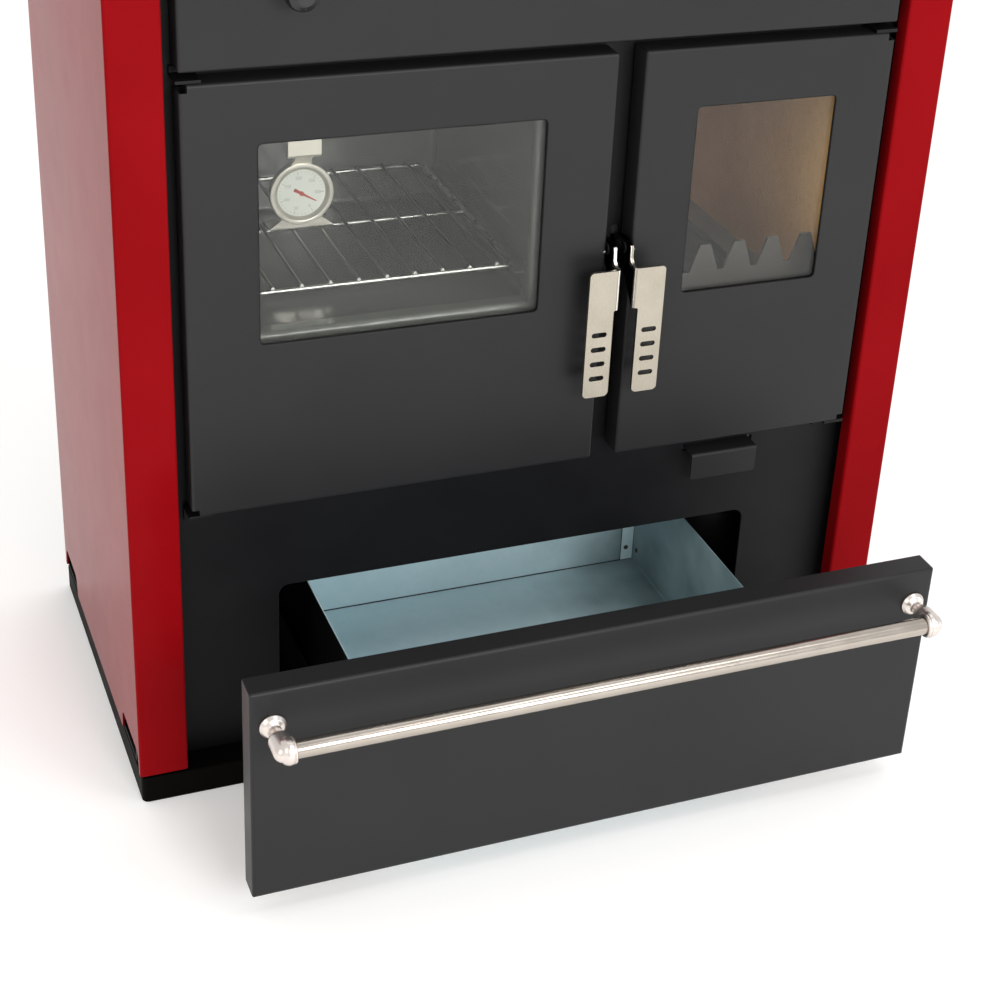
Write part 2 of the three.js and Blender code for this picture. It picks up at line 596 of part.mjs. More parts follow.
// ---- firebox ----
{
  const x = fireboxX;
  const y = [bodyFront, fireboxRear];
  const inside = [y[0] - 1, y[1] - fireSheet];
  const holeX = grow(airSlideX, -airHole.margin);
  const panX = [x[0] + ashPan.left, x[1] - ashPan.right];
  const grateHoleX = [x[0] + grateHole.left, x[1] - grateHole.right];
  const ledgeZ = [ashPan.bottom - gap - fireSheet, ashPan.bottom - gap];
  const ledge = (from, to) => block([from, to], [y[0], y[1] - fireSheet], ledgeZ);
  const grateShelf = block(x, [y[0], y[1] - fireSheet], [firebox.shelf, firebox.shelf + fireSheet]);
  addPart('firebox_shell', join(
    cut(
      block(grow(x, fireSheet), y, [firebox.bottom - fireSheet, bodyTop]),
      block(x, inside, [firebox.bottom, bodyTop + 1]),
      block(holeX, [behind(airHole.front), behind(airHole.rear)],
        [firebox.bottom - fireSheet - 1, firebox.bottom + 1])),
    ledge(x[0], panX[0] + ashPan.lap),
    ledge(panX[1] - ashPan.lap, x[1]),
    cut(grateShelf, block(grateHoleX, [behind(grateHole.front), behind(grateHole.rear)],
      [firebox.shelf - 1, firebox.shelf + fireSheet + 1])),
  ), black);

  const shelfTop = firebox.shelf + fireSheet + gap;
  const liningZ = [shelfTop, liningTop];
  const rearFace = y[1] - fireSheet - gap - liningBoard;
  const liningY = [behind(liningSetback), rearFace - gap];
  addPart('lining_left', block([x[0] + gap, x[0] + gap + liningBoard], liningY, liningZ), lining);
  addPart('lining_right', block([x[1] - gap - liningBoard, x[1] - gap], liningY, liningZ), lining);
  addPart('lining_rear', block(grow(x, -gap), [rearFace, y[1] - fireSheet - gap], liningZ), lining);

  const grateX = grow(grateHoleX, grateLap);
  const grateY = [behind(grateHole.front) - grateLap, behind(grateHole.rear) + grateLap];
  const pitch = (grateHoleX[1] - grateHoleX[0]) / grateBars;
  addPart('fire_grate', cut(
    block(grateX, grateY, [shelfTop, shelfTop + grateThickness]),
    ...Array.from({ length: grateBars }, (_, i) => {
      const middle = grateHoleX[0] + (i + 0.5) * pitch;
      return block([middle - pitch / 4, middle + pitch / 4], grow(grateY, -grateRim),
        grow([shelfTop, shelfTop + grateThickness], 1));
    }),
  ), castIron);

  const guardX = grow(x, -guard.side);
  const points = [[guardX[0], shelfTop], [guardX[1], shelfTop], [guardX[1], guard.valley]];
  const first = guardX[0] + guard.first;
  const lastTooth = Math.floor((guardX[1] - guardTooth[1] / 2 - first) / guard.pitch);
  for (let i = lastTooth; i >= 0; i -= 1) {
    const middle = first + i * guard.pitch;
    points.push([middle + guardTooth[1] / 2, guard.valley], [middle + guardTooth[0] / 2, guard.peak],
      [middle - guardTooth[0] / 2, guard.peak], [middle - guardTooth[1] / 2, guard.valley]);
  }
  points.push([guardX[0], guard.valley]);
  const guardY = [behind(guard.setback), behind(guard.setback) + guardSheet];
  addPart('log_guard', prism(polygon(points), 'y', guardY), greySteel);

  const panY = [behind(ashPan.front), behind(ashPan.front) + ashPan.length];
  const panZ = [ashPan.bottom, ashPan.bottom + ashPan.height];
  addPart('ash_pan', join(
    cut(block(panX, panY, panZ),
      block(grow(panX, -ashPan.sheet), grow(panY, -ashPan.sheet), [panZ[0] + ashPan.sheet, panZ[1] + 1])),
    block([(panX[0] + panX[1] - ashPanLip.width) / 2, (panX[0] + panX[1] + ashPanLip.width) / 2],
      [panY[0] - ashPanLip.reach, panY[0] + 1],
      [panZ[1] - ashPan.sheet, panZ[1]]),
  ), galvanised);

  const tongueZ = [airSlide.top - airSlide.sheet, airSlide.top];
  const flapY = [behind(airSlide.setback), behind(airSlide.setback + airSlide.sheet)];
  addPart('air_slide', join(
    block(airSlideX, [flapY[0], flapY[0] + airSlide.length], tongueZ),
    block(airSlideX, flapY, [airSlide.top - airSlide.flap, airSlide.top]),
  ), charcoal);
  const guideY = [bodyFront, flapY[0] + airSlide.length + airGuide.beyond];
  const guideX = grow(airSlideX, airGuide.side);
  addPart('air_guide', cut(
    block(guideX, guideY, [roofTop + gap, firebox.bottom - fireSheet - gap]),
    block(grow(airSlideX, gap), grow(guideY, 1), [tongueZ[0] - gap, firebox.bottom]),
    block(grow(airSlideX, -airGuide.track), grow(guideY, 1), [roofTop + gap + bodySheet, firebox.bottom]),
  ), greySteel);
}

// ---- drawer ----
{
  const x = [-drawerWidth / 2, drawerWidth / 2];
  const z = [drawerBottom, drawerBottom + drawerHeight];
  const faceBack = drawerFaceY + doorSheet;
  addPart('drawer_front', cut(
    block(x, [drawerFaceY, drawerFaceY + drawerThickness], z),
    block(grow(x, -doorSheet), [faceBack, drawerFaceY + drawerThickness + 1], grow(z, -doorSheet)),
  ), charcoal);

  const trayX = [-trayWidth / 2, trayWidth / 2];
  const trayLength = bodyRear - trayRearGap - (frontY + doorSheet + gap);
  const trayY = [faceBack + gap, faceBack + gap + trayLength];
  addPart('drawer_tray', cut(
    block(trayX, trayY, [trayBottom, trayBottom + trayHeight]),
    block(grow(trayX, -traySheet), grow(trayY, -traySheet),
      [trayBottom + traySheet, trayBottom + trayHeight + 1]),
  ), galvanised);

  const shelfTop = trayBottom - gap;
  for (const [name, side] of [['left', -1], ['right', 1]]) {
    const across = (a, b) => (side < 0 ? [-b, -a] : [a, b]);
    const inner = trayWidth / 2 - runnerShelf / 2;
    const guide = trayWidth / 2 + trayPlay;
    const y = [bodyFront, bodyRear - 3];
    addPart(`drawer_runner_${name}`, join(
      block(across(inner, guide + runnerSheet), y, [shelfTop - runnerSheet, shelfTop]),
      block(across(guide, guide + runnerSheet), y, [floorTop + gap, shelfTop + runnerGuide]),
      block(across(guide, guide + runnerFoot), y, [floorTop + gap, floorTop + gap + runnerSheet]),
    ), greySteel);
  }

  const axisY = drawerFaceY - railStandoff;
  const socketEnd = railSpan / 2 - holderReach[0] + railSocket;
  addPart('drawer_rail', cut(
    rod('x', axisY, railHeight, railRadius, [-socketEnd, socketEnd], 24),
    rod('x', axisY, railHeight, railRadius - railWall, grow([-socketEnd, socketEnd], 1), 24),
  ), stainless);
  for (const [name, side] of [['left', -1], ['right', 1]]) {
    const at = side * railSpan / 2;
    const holder = turned([
      [0, -holderReach[0]], [holderRadius - 1, -holderReach[0]], [holderRadius, -holderReach[0] + 1],
      [holderRadius, 0],
      [holderRadius * 0.92, holderReach[1] * 0.45], [holderRadius * 0.62, holderReach[1] * 0.85],
      [0, holderReach[1]],
    ], side < 0 ? '-x' : 'x', [at, axisY, railHeight]);
    const flange = turned([
      [0, 0], [flangeRadius, 0], [flangeRadius, 1.5], [flangeRadius * 0.85, flangeHeight * 0.7],
      [stemRadius, flangeHeight], [stemRadius, railStandoff - railRadius - 1],
      [0, railStandoff - railRadius - 1],
    ], '-y', [at, drawerFaceY - gap, railHeight]);
    const bore = [at - side * (holderReach[0] + 1), at - side * (holderReach[0] - railSocket - gap)];
    addPart(`rail_bracket_${name}`, cut(
      join(holder, flange),
      rod('x', axisY, railHeight, railRadius + gap, ordered(...bore), 24),
    ), chrome);
  }
}

// ---- hob, flue and damper ----
{
  const outerX = [-half - hobOverhang, half + hobOverhang];
  const outerY = [frontY - hobOverhang, backY];
  const z = [casingTop + gap, casingTop + gap + hobFrameHeight];
  const pocketX = grow(outerX, -hobFrameWidth);
  const pocketY = grow(outerY, -hobFrameWidth);
  const seat = z[1] - hobPlate - gap;
  const channel = cut(
    block(grow(outerX, -hobFrameSheet), grow(outerY, -hobFrameSheet), [z[0] - 1, z[1] - hobFrameSheet]),
    block(grow(pocketX, hobFrameSheet), grow(pocketY, hobFrameSheet), [z[0] - 2, z[1]]));
  const rest = cut(
    block(pocketX, pocketY, [seat - hobFrameSheet, seat]),
    block(grow(pocketX, -hobLedge), grow(pocketY, -hobLedge), grow([seat - hobFrameSheet, seat], 1)));
  addPart('hob_frame', join(
    cut(block(outerX, outerY, z), channel, block(pocketX, pocketY, grow(z, 1))),
    rest,
  ), black);

  const h = { ...hobHole, x: half - hobHole.side };
  const plateZ = [seat + gap, seat + gap + hobPlate];
  const middle = plateZ[0] + hobPlate / 2;
  addPart('hob_plate', cut(
    block(grow(pocketX, -gap), grow(pocketY, -gap), plateZ),
    rod('z', h.x, h.y, h.radius, [middle, plateZ[1] + 1], 40),
    rod('z', h.x, h.y, h.radius - h.ledge, grow(plateZ, 1), 40),
    rod('z', ...collarAt, collar.radius - 1, grow(plateZ, 1), 32),
  ), castIron);
  addPart('hob_ring', cut(
    join(
      rod('z', h.x, h.y, h.radius - gap, [middle + gap, plateZ[1]], 40),
      rod('z', h.x, h.y, h.radius - h.ledge - gap, [plateZ[0], middle + gap + 1], 40)),
    rod('z', h.x, h.y, h.lid, [middle + gap, plateZ[1] + 1], 32),
    rod('z', h.x, h.y, h.lid - h.ledge, grow(plateZ, 1), 32),
  ), castIron);
  addPart('hob_lid', cut(
    join(
      rod('z', h.x, h.y, h.lid - gap, [middle + 2 * gap, plateZ[1]], 32),
      rod('z', h.x, h.y, h.lid - h.ledge - gap, [plateZ[0], middle + 1], 32)),
    block([h.x + lidSlot.from, h.x + lidSlot.to], grow([h.y, h.y], lidSlot.width / 2),
      [plateZ[1] - lidSlot.depth, plateZ[1] + 1]),
  ), castIron);

  const c = collar;
  addPart('flue_collar', turned([
    [c.radius, plateZ[1] + gap], [c.radius + c.wall + c.flange, plateZ[1] + gap],
    [c.radius + c.wall + c.flange, plateZ[1] + gap + c.flangeSheet],
    [c.radius + c.wall, plateZ[1] + gap + c.flangeSheet], [c.radius + c.wall, plateZ[1] + c.height],
    [c.radius, plateZ[1] + c.height], [c.radius, plateZ[1] + gap],
  ], 'z', [...collarAt, 0], 32), castIron);

  const f = flueBox;
  const top = plateZ[0] - gap;
  const topRear = pocketY[1] - hobLedge - gap;
  const inset = ([low, high]) => [low + f.sheet, high - f.sheet];
  const around = (size) => grow([collarAt[0], collarAt[0]], size / 2);
  const x = grow([collarAt[0], collarAt[0]], f.width / 2);
  const upperFront = collarAt[1] - c.radius - f.front;
  addPart('flue_box', cut(
    join(
      block(x, [upperFront, topRear], [f.stepHeight, top]),
      block(x, [ductY, bodyRear], [f.bottom, bodyTop - gap])),
    block(inset(x), inset([upperFront, topRear]), [f.stepHeight + f.sheet, top + 1]),
    block(inset(x), inset([ductY, bodyRear]), [f.bottom - 1, bodyTop - gap - f.sheet]),
    block(around(damper.hole[0]), [upperFront - 1, upperFront + f.sheet + 1],
      [damper.z - damper.hole[1] / 2, damper.z + damper.hole[1] / 2]),
  ), greySteel);
  const flapY = [upperFront - gap - damper.flapSheet, upperFront - gap];
  addPart('damper_flap', join(
    block(around(damper.flapWidth), flapY,
      [damper.z - damper.flapHeight / 2, damper.z + damper.flapHeight / 2]),
    rod('y', collarAt[0], damper.z, damper.rod, [frontY - damper.reach, flapY[0] + 1]),
  ), stainless);
  addPart('damper_knob', cut(
    turned(damperKnob, '-y', [collarAt[0], frontY - damperKnobStandoff, damper.z]),
    rod('y', collarAt[0], damper.z, damper.rod + gap, [frontY - damper.reach - gap, frontY]),
  ), black);
}

export default stove;
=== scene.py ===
# Wood cookstove: the looks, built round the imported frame. Pieces are worked out in millimetres.
import math

import bmesh
import bpy
import numpy as np
from mathutils import Matrix, Vector


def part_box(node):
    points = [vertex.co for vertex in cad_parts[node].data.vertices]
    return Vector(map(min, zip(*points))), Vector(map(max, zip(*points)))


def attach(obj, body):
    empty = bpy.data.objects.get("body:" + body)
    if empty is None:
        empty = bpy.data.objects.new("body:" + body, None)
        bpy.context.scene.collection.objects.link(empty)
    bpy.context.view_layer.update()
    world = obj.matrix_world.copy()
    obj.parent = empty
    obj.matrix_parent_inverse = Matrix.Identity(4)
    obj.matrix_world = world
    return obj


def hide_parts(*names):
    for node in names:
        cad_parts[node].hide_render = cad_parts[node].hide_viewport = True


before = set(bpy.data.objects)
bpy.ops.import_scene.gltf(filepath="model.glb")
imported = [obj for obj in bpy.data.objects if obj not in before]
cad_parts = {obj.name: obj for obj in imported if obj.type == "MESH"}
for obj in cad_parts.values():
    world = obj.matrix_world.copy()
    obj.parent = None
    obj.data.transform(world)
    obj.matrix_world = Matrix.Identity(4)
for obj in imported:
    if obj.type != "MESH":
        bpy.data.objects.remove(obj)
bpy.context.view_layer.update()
scene = bpy.context.scene


# ---- camera ----
cameraView = {"place": (-638.93, -1667.89, 1214.53), "yaw": 23.511, "down": 27.753, "roll": 3.486,
              "lens": 71.58, "shift": (-0.04306, -0.0995)}


def makeCamera(view):
    # Look direction from yaw and downward pitch, then the picture is turned about it by the roll.
    yaw, down, roll = (math.radians(view[k]) for k in ("yaw", "down", "roll"))
    ahead = Vector((math.sin(yaw) * math.cos(down), math.cos(yaw) * math.cos(down), -math.sin(down)))
    level = Vector((math.cos(yaw), -math.sin(yaw), 0))
    upright = level.cross(ahead)
    right = level * math.cos(roll) + upright * math.sin(roll)
    up = upright * math.cos(roll) - level * math.sin(roll)
    data = bpy.data.cameras.new("camera")
    camera = bpy.data.objects.new("camera", data)
    scene.collection.objects.link(camera)
    camera.matrix_world = Matrix.Translation(Vector(view["place"]) / 1000) @ Matrix(
        (right, up, -ahead)).transposed().to_4x4()
    data.lens = view["lens"]
    data.shift_x, data.shift_y = view["shift"]
    data.clip_start, data.clip_end = 0.05, 60
    scene.camera = camera


makeCamera(cameraView)
print("camera placed")


# ---- shapes: arrays of points in millimetres, and faces ----
def gridFaces(rows, columns, wrapRows=False, wrapColumns=False):
    # Quads between neighbouring rows and columns of a point grid.
    i = np.arange(rows if wrapRows else rows - 1)[:, None]
    j = np.arange(columns if wrapColumns else columns - 1)[None, :]
    down, across = (i + 1) % rows, (j + 1) % columns
    quads = np.stack([i * columns + j, i * columns + across, down * columns + across, down * columns + j], -1)
    return quads.reshape(-1, 4).tolist()


def fillet(points, radii, steps=4, closed=True):
    # Each corner becomes an arc tangent to both its sides: a blend by sines between the two contact radii.
    p = np.asarray(points, float)
    r = np.broadcast_to(np.asarray(radii, float), len(p)).copy()
    back, on = np.roll(p, 1, 0) - p, np.roll(p, -1, 0) - p
    lengthBack, lengthOn = np.linalg.norm(back, axis=1), np.linalg.norm(on, axis=1)
    a, b = back / lengthBack[:, None], on / lengthOn[:, None]
    halfTurn = np.arccos(np.clip((a * b).sum(1), -1, 1)) / 2
    cut = np.minimum(r / np.tan(halfTurn), 0.48 * np.minimum(lengthBack, lengthOn))  # under half a side
    middle = (a + b) / np.linalg.norm(a + b, axis=1)[:, None]
    centre = p + middle * (cut / np.cos(halfTurn))[:, None]
    first, last = p + a * cut[:, None] - centre, p + b * cut[:, None] - centre
    sweep = (math.pi - 2 * halfTurn)[:, None, None]
    t = np.linspace(0, 1, steps + 1)[None, :, None]
    swing = np.sin((1 - t) * sweep) * first[:, None] + np.sin(t * sweep) * last[:, None]
    arcs = centre[:, None] + swing / np.sin(sweep)
    if not closed:
        arcs = np.concatenate([p[:1], arcs[1:-1].reshape(-1, p.shape[1]), p[-1:]])
    return arcs.reshape(-1, p.shape[1])


def rectLoops(u, v, inset, corner, steps=6):
    # One rounded rectangle for each inset: quarter arcs about four corner centres, all at once.
    inset = np.atleast_1d(np.asarray(inset, float))[:, None, None]
    r = np.maximum(corner - inset, 0.25)  # an inner corner keeps a little radius
    quarter = np.arange(4)[None, :, None]
    angle = (quarter + np.linspace(0, 1, steps + 1)[None, None, :]) * math.pi / 2
    signU, signV = np.array([1, -1, -1, 1])[None, :, None], np.array([1, 1, -1, -1])[None, :, None]
    across = (u[0] + u[1]) / 2 + signU * ((u[1] - u[0]) / 2 - inset - r) + r * np.cos(angle)
    upward = (v[0] + v[1]) / 2 + signV * ((v[1] - v[0]) / 2 - inset - r) + r * np.sin(angle)
    return np.stack([across.reshape(len(inset), -1), upward.reshape(len(inset), -1)], -1)


def place(uv, w, axis):
    # (u, v) drawn across an axis and w along it: (y, z) for x, (x, z) for y, (x, y) for z.
    w = np.broadcast_to(np.asarray(w, float), uv.shape[:-1])
    order = {"x": (w, uv[..., 0], uv[..., 1]), "y": (uv[..., 0], w, uv[..., 1]),
             "z": (uv[..., 0], uv[..., 1], w)}
    return np.stack(order[axis], -1)


def prism(outline, span, axis):
    # A closed outline drawn out along an axis, with a flat face at each end.
    outline = np.asarray(outline, float)
    n = len(outline)
    points = np.concatenate([place(outline, w, axis) for w in span])
    return points, gridFaces(2, n, wrapColumns=True) + [list(range(n))[::-1], list(range(n, 2 * n))]


def box(x, y, z):
    return prism([(x[0], y[0]), (x[1], y[0]), (x[1], y[1]), (x[0], y[1])], z, "z")


def pan(u, v, profile, corner, axis, steps=6, seam=0, caps=True):
    # A profile of (inset, depth) carried round a rounded rectangle. seam sinks the middle of each corner.
    profile = np.asarray(profile, float)
    loops = rectLoops(u, v, profile[:, 0], corner, steps)
    if seam:
        middle = np.tile(np.arange(steps + 1) == steps // 2, 4)
        toCentre = np.array([(u[0] + u[1]) / 2, (v[0] + v[1]) / 2]) - loops
        sink = np.sign(toCentre) * seam * 0.7  # along the diagonal
        behind = (profile[:, 1] - profile[:, 1].min() > 1.2)[:, None, None]  # the face itself stays flat
        loops = loops + sink * middle[None, :, None] * behind
    points = place(loops, profile[:, 1][:, None], axis)
    rows, columns = points.shape[:2]
    faces = gridFaces(rows, columns, wrapRows=not caps, wrapColumns=True)
    if caps:
        faces += [list(range(columns))[::-1], list(range((rows - 1) * columns, rows * columns))]
    return points.reshape(-1, 3), faces


def turned(profile, centre, axis, steps=40, wrap=False):
    # A profile of (radius, height) turned about an axis through the centre.
    profile = np.asarray(profile, float)
    angle = np.linspace(0, 2 * math.pi, steps, endpoint=False)
    r, h = profile[:, :1], np.broadcast_to(profile[:, 1:], (len(profile), steps))
    uv = np.stack([r * np.cos(angle), r * np.sin(angle)], -1)
    points = place(uv, h, axis) + np.asarray(centre, float)
    return points.reshape(-1, 3), gridFaces(len(profile), steps, wrapRows=wrap, wrapColumns=True)


def tube(path, radius, sides=12, closed=False, flat=1.0, across=(0, 0, 1)):
    # A circle, or an ellipse flattened along the across direction, carried along a path.
    path = np.asarray(path, float)
    along = np.roll(path, -1, 0) - np.roll(path, 1, 0) if closed else np.gradient(path, axis=0)
    along /= np.linalg.norm(along, axis=1)[:, None]
    side = np.cross(along, np.asarray(across, float))
    side /= np.linalg.norm(side, axis=1)[:, None]
    other = np.cross(side, along)
    angle = np.linspace(0, 2 * math.pi, sides, endpoint=False)
    ring = radius * (np.cos(angle)[None, :, None] * side[:, None]
                     + flat * np.sin(angle)[None, :, None] * other[:, None])
    points = (path[:, None] + ring).reshape(-1, 3)
    faces = gridFaces(len(path), sides, wrapRows=closed, wrapColumns=True)
    if not closed:
        last = (len(path) - 1) * sides
        faces += [list(range(sides))[::-1], list(range(last, last + sides))]
    return points, faces


def dome(radius, height, rise, steps=8):
    # Profile of a screw or rivet head: a straight rim, then a quarter ellipse to the axis.
    t = np.linspace(0, math.pi / 2, steps)
    arc = np.stack([radius * np.cos(t), height + rise * np.sin(t)], -1)
    return np.concatenate([[(0, 0), (radius, 0)], arc])


def nodeBox(name):
    # A node's box in millimetres: its limits along x, y and z.
    low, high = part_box(name)
    return np.array([low, high]).T * 1000


def ordered(a, b):
    return (min(a, b), max(a, b))


# ---- meshes ----
def shellMesh(name, shells):
    # Closed shells become one mesh: doubles are merged, then the normals are turned outwards.
    points, faces, start = [], [], 0
    for p, f in shells:
        points.append(p)
        faces += [[start + i for i in face] for face in f]
        start += len(p)
    mesh = bpy.data.meshes.new(name)
    mesh.from_pydata((np.concatenate(points) * 0.001).tolist(), [], faces)
    bm = bmesh.new()
    bm.from_mesh(mesh)
    bmesh.ops.remove_doubles(bm, verts=bm.verts, dist=2e-6)
    bmesh.ops.dissolve_degenerate(bm, edges=bm.edges, dist=1e-7)
    bmesh.ops.recalc_face_normals(bm, faces=bm.faces)
    bm.to_mesh(mesh)
    bm.free()
    return mesh


def applied(obj):
    # The mesh with its modifiers worked in.
    graph = bpy.context.evaluated_depsgraph_get()
    graph.update()
    mesh = bpy.data.meshes.new_from_object(obj.evaluated_get(graph))
    obj.modifiers.clear()
    obj.data = mesh
    return mesh


def cutAway(obj, shells, operation="DIFFERENCE"):
    for shell in shells:
        tool = bpy.data.objects.new("tool", shellMesh("tool", [shell]))
        scene.collection.objects.link(tool)
        cut = obj.modifiers.new("cut", "BOOLEAN")
        cut.operation, cut.solver, cut.object = operation, "EXACT", tool
        applied(obj)
        bpy.data.objects.remove(tool)


def dress(obj, material, edge=0, segments=3, sharp=35):
    # Rounds the edges, shades smoothly up to a sharp angle, and keeps flat faces flat.
    mesh = obj.data
    mesh.materials.clear()
    mesh.materials.append(material)
    mesh.polygons.foreach_set("material_index", np.zeros(len(mesh.polygons), np.int32))
    if edge:
        bevel = obj.modifiers.new("edge", "BEVEL")
        bevel.width, bevel.segments, bevel.limit_method = edge * 0.001, segments, "ANGLE"
        bevel.angle_limit, bevel.use_clamp_overlap = math.radians(sharp), True
        bevel.miter_outer = "MITER_ARC"
        mesh = applied(obj)
    mesh.shade_smooth()
    mesh.set_sharp_from_angle(angle=math.radians(sharp))
    weighted = obj.modifiers.new("flat", "WEIGHTED_NORMAL")
    weighted.keep_sharp, weighted.weight = True, 60
    applied(obj)


def piece(name, shells, material, body, stands=(), edge=0, segments=3, cuts=(), keeps=(), sharp=35):
    # A new piece on its body. Where it stands in for a node, that node is hidden.
    obj = bpy.data.objects.new(name, shellMesh(name, shells))
    scene.collection.objects.link(obj)
    cutAway(obj, keeps, "INTERSECT")
    cutAway(obj, cuts)
    dress(obj, material, edge, segments, sharp)
    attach(obj, body)
    if stands:
        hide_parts(*stands)


def softened(node, material, body, edge=0.4, segments=3):
    # A merged copy of a CAD node with its edges rounded.
    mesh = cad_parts[node].data.copy()
    bm = bmesh.new()
    bm.from_mesh(mesh)
    bmesh.ops.remove_doubles(bm, verts=bm.verts, dist=1e-5)
    bmesh.ops.dissolve_limit(bm, angle_limit=math.radians(0.5), verts=bm.verts, edges=bm.edges)
    bmesh.ops.recalc_face_normals(bm, faces=bm.faces)
    bm.to_mesh(mesh)
    bm.free()
    obj = bpy.data.objects.new(node + "_shaped", mesh)
    scene.collection.objects.link(obj)
    dress(obj, material, edge, segments)
    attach(obj, body)
    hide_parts(node)


# ---- materials ----
def linearColour(text):
    # An sRGB hex value as the linear colour that the shader takes.
    share = np.array([int(text[i:i + 2], 16) for i in (1, 3, 5)]) / 255
    return (*np.where(share <= 0.04045, share / 12.92, ((share + 0.055) / 1.055) ** 2.4).tolist(), 1.0)


def addNode(tree, kind, settings=(), links=()):
    # One shader node with its settings, by attribute or socket, and the sockets linked into it.
    node = tree.nodes.new("ShaderNode" + kind)
    for key, value in dict(settings).items():
        if isinstance(key, str) and hasattr(node, key):
            setattr(node, key, value)
        else:
            node.inputs[key].default_value = value
    for key, source in dict(links).items():
        tree.links.new(source, node.inputs[key])
    return node


def newMaterial(name, base, **settings):
    material = bpy.data.materials.new(name)
    material.use_nodes = True
    material.node_tree.nodes.clear()
    tree = material.node_tree
    shader = addNode(tree, "BsdfPrincipled", {"Base Color": linearColour(base), **settings})
    addNode(tree, "OutputMaterial", {}, {"Surface": shader.outputs[0]})
    where = addNode(tree, "TexCoord").outputs["Object"]
    return material, tree, shader, where


def grain(tree, where, size, detail=2, stretch=(1, 1, 1), rough=0.5):
    # Noise whose spots are about size millimetres across, drawn out by stretch.
    scaled = addNode(tree, "Mapping", {"Scale": tuple(1 / s for s in stretch)}, {"Vector": where})
    return addNode(tree, "TexNoise", {"Scale": 1000 / size, "Detail": detail, "Roughness": rough},
                   {"Vector": scaled.outputs[0]}).outputs["Fac"]


def colourBlend(tree, value, first, second, low=0.3, high=0.7):
    # From the first colour to the second as the value climbs from low to high. Each is hex text or a socket.
    share = addNode(tree, "MapRange", {"From Min": low, "From Max": high}, {"Value": value})
    sides = {6: first, 7: second}
    fixed = {key: linearColour(side) for key, side in sides.items() if isinstance(side, str)}
    linked = {key: side for key, side in sides.items() if key not in fixed}
    return addNode(tree, "Mix", {"data_type": "RGBA", **fixed}, {0: share.outputs[0], **linked}).outputs[2]


def finish(tree, shader, shade, gloss=None, rough=(0, 1), span=(0.3, 0.7), height=None, strength=0.5,
           relief=0):
    # Colour, roughness that follows the gloss pattern over its span, and relief in millimetres.
    tree.links.new(shade, shader.inputs["Base Color"])
    if gloss is not None:
        limits = {"From Min": span[0], "From Max": span[1], "To Min": rough[0], "To Max": rough[1]}
        ranged = addNode(tree, "MapRange", limits, {"Value": gloss})
        tree.links.new(ranged.outputs[0], shader.inputs["Roughness"])
    if height is not None:
        bump = addNode(tree, "Bump", {"Strength": strength, "Distance": relief / 1000}, {"Height": height})
        tree.links.new(bump.outputs[0], shader.inputs["Normal"])


def coated(name, first, second, rough, texture, relief, **settings):
    # A paint or powder film: two near shades in broad patches, roughness that drifts, and a fine skin.
    material, tree, shader, where = newMaterial(name, first, **settings)
    shade = colourBlend(tree, grain(tree, where, 140, 3), first, second)
    finish(tree, shader, shade, grain(tree, where, 45, 4), rough,
           height=grain(tree, where, texture, 3), strength=0.6, relief=relief)
    return material


def brushed(name, first, second, rough, stretch, line=0.7, relief=0.02, **settings):
    # Metal with fine parallel scratches: noise drawn out along one axis drives shade, roughness and relief.
    material, tree, shader, where = newMaterial(name, first, **{"Metallic": 1.0, **settings})
    lines = grain(tree, where, line, 2, stretch)
    cloud = grain(tree, where, 30, 3)
    both = addNode(tree, "Math", {"operation": "ADD"}, {0: lines, 1: cloud}).outputs[0]
    span = (0.7, 1.3)  # the two noises together
    shade = colourBlend(tree, both, first, second, *span)
    finish(tree, shader, shade, both, rough, span, lines, 0.5, relief)
    return material


def foldedSteel(name, first, second, fold):
    # Satin steel with painted highlights on its folds, a set distance either side of the levers' middle line.
    # Beside each is a band of painted shade; behind the grip plates, and on the arms behind the doors' faces,
    # painted shadow.
    material, tree, shader, where = newMaterial(name, first, Metallic=1.0)
    lines = grain(tree, where, 0.35, 2, (1, 1, 30))
    cloud = colourBlend(tree, grain(tree, where, 25, 3), first, second)
    x, y, z = addNode(tree, "SeparateXYZ", {}, {0: where}).outputs
    offset = addNode(tree, "Math", {"operation": "SUBTRACT", 1: fold["middle"]}, {0: x}).outputs[0]
    away = addNode(tree, "Math", {"operation": "ABSOLUTE"}, {0: offset}).outputs[0]
    reach, foot = fold["reach"], fold["armFoot"]
    # painted shade: a darker band just outside each painted highlight
    edge = colourBlend(tree, away, fold["shade"], cloud, reach, reach + 0.0012)  # edges about 1 mm soft
    paintedHighlight = colourBlend(tree, away, fold["paintedHighlight"], edge, reach - 0.0005, reach)
    limits = {"From Min": foot, "From Max": foot + 0.0015, "To Max": -fold["armDepth"]}
    arm = addNode(tree, "MapRange", limits, {"Value": z}).outputs[0]
    depth = addNode(tree, "Math", {"operation": "ADD"}, {0: y, 1: arm}).outputs[0]
    # painted shadow where the lever passes back into the dark gap behind the door
    shade = colourBlend(tree, depth, paintedHighlight, fold["black"], fold["blacked"], fold["blacked"] + 0.001)
    finish(tree, shader, shade, lines, (0.26, 0.31))
    return material


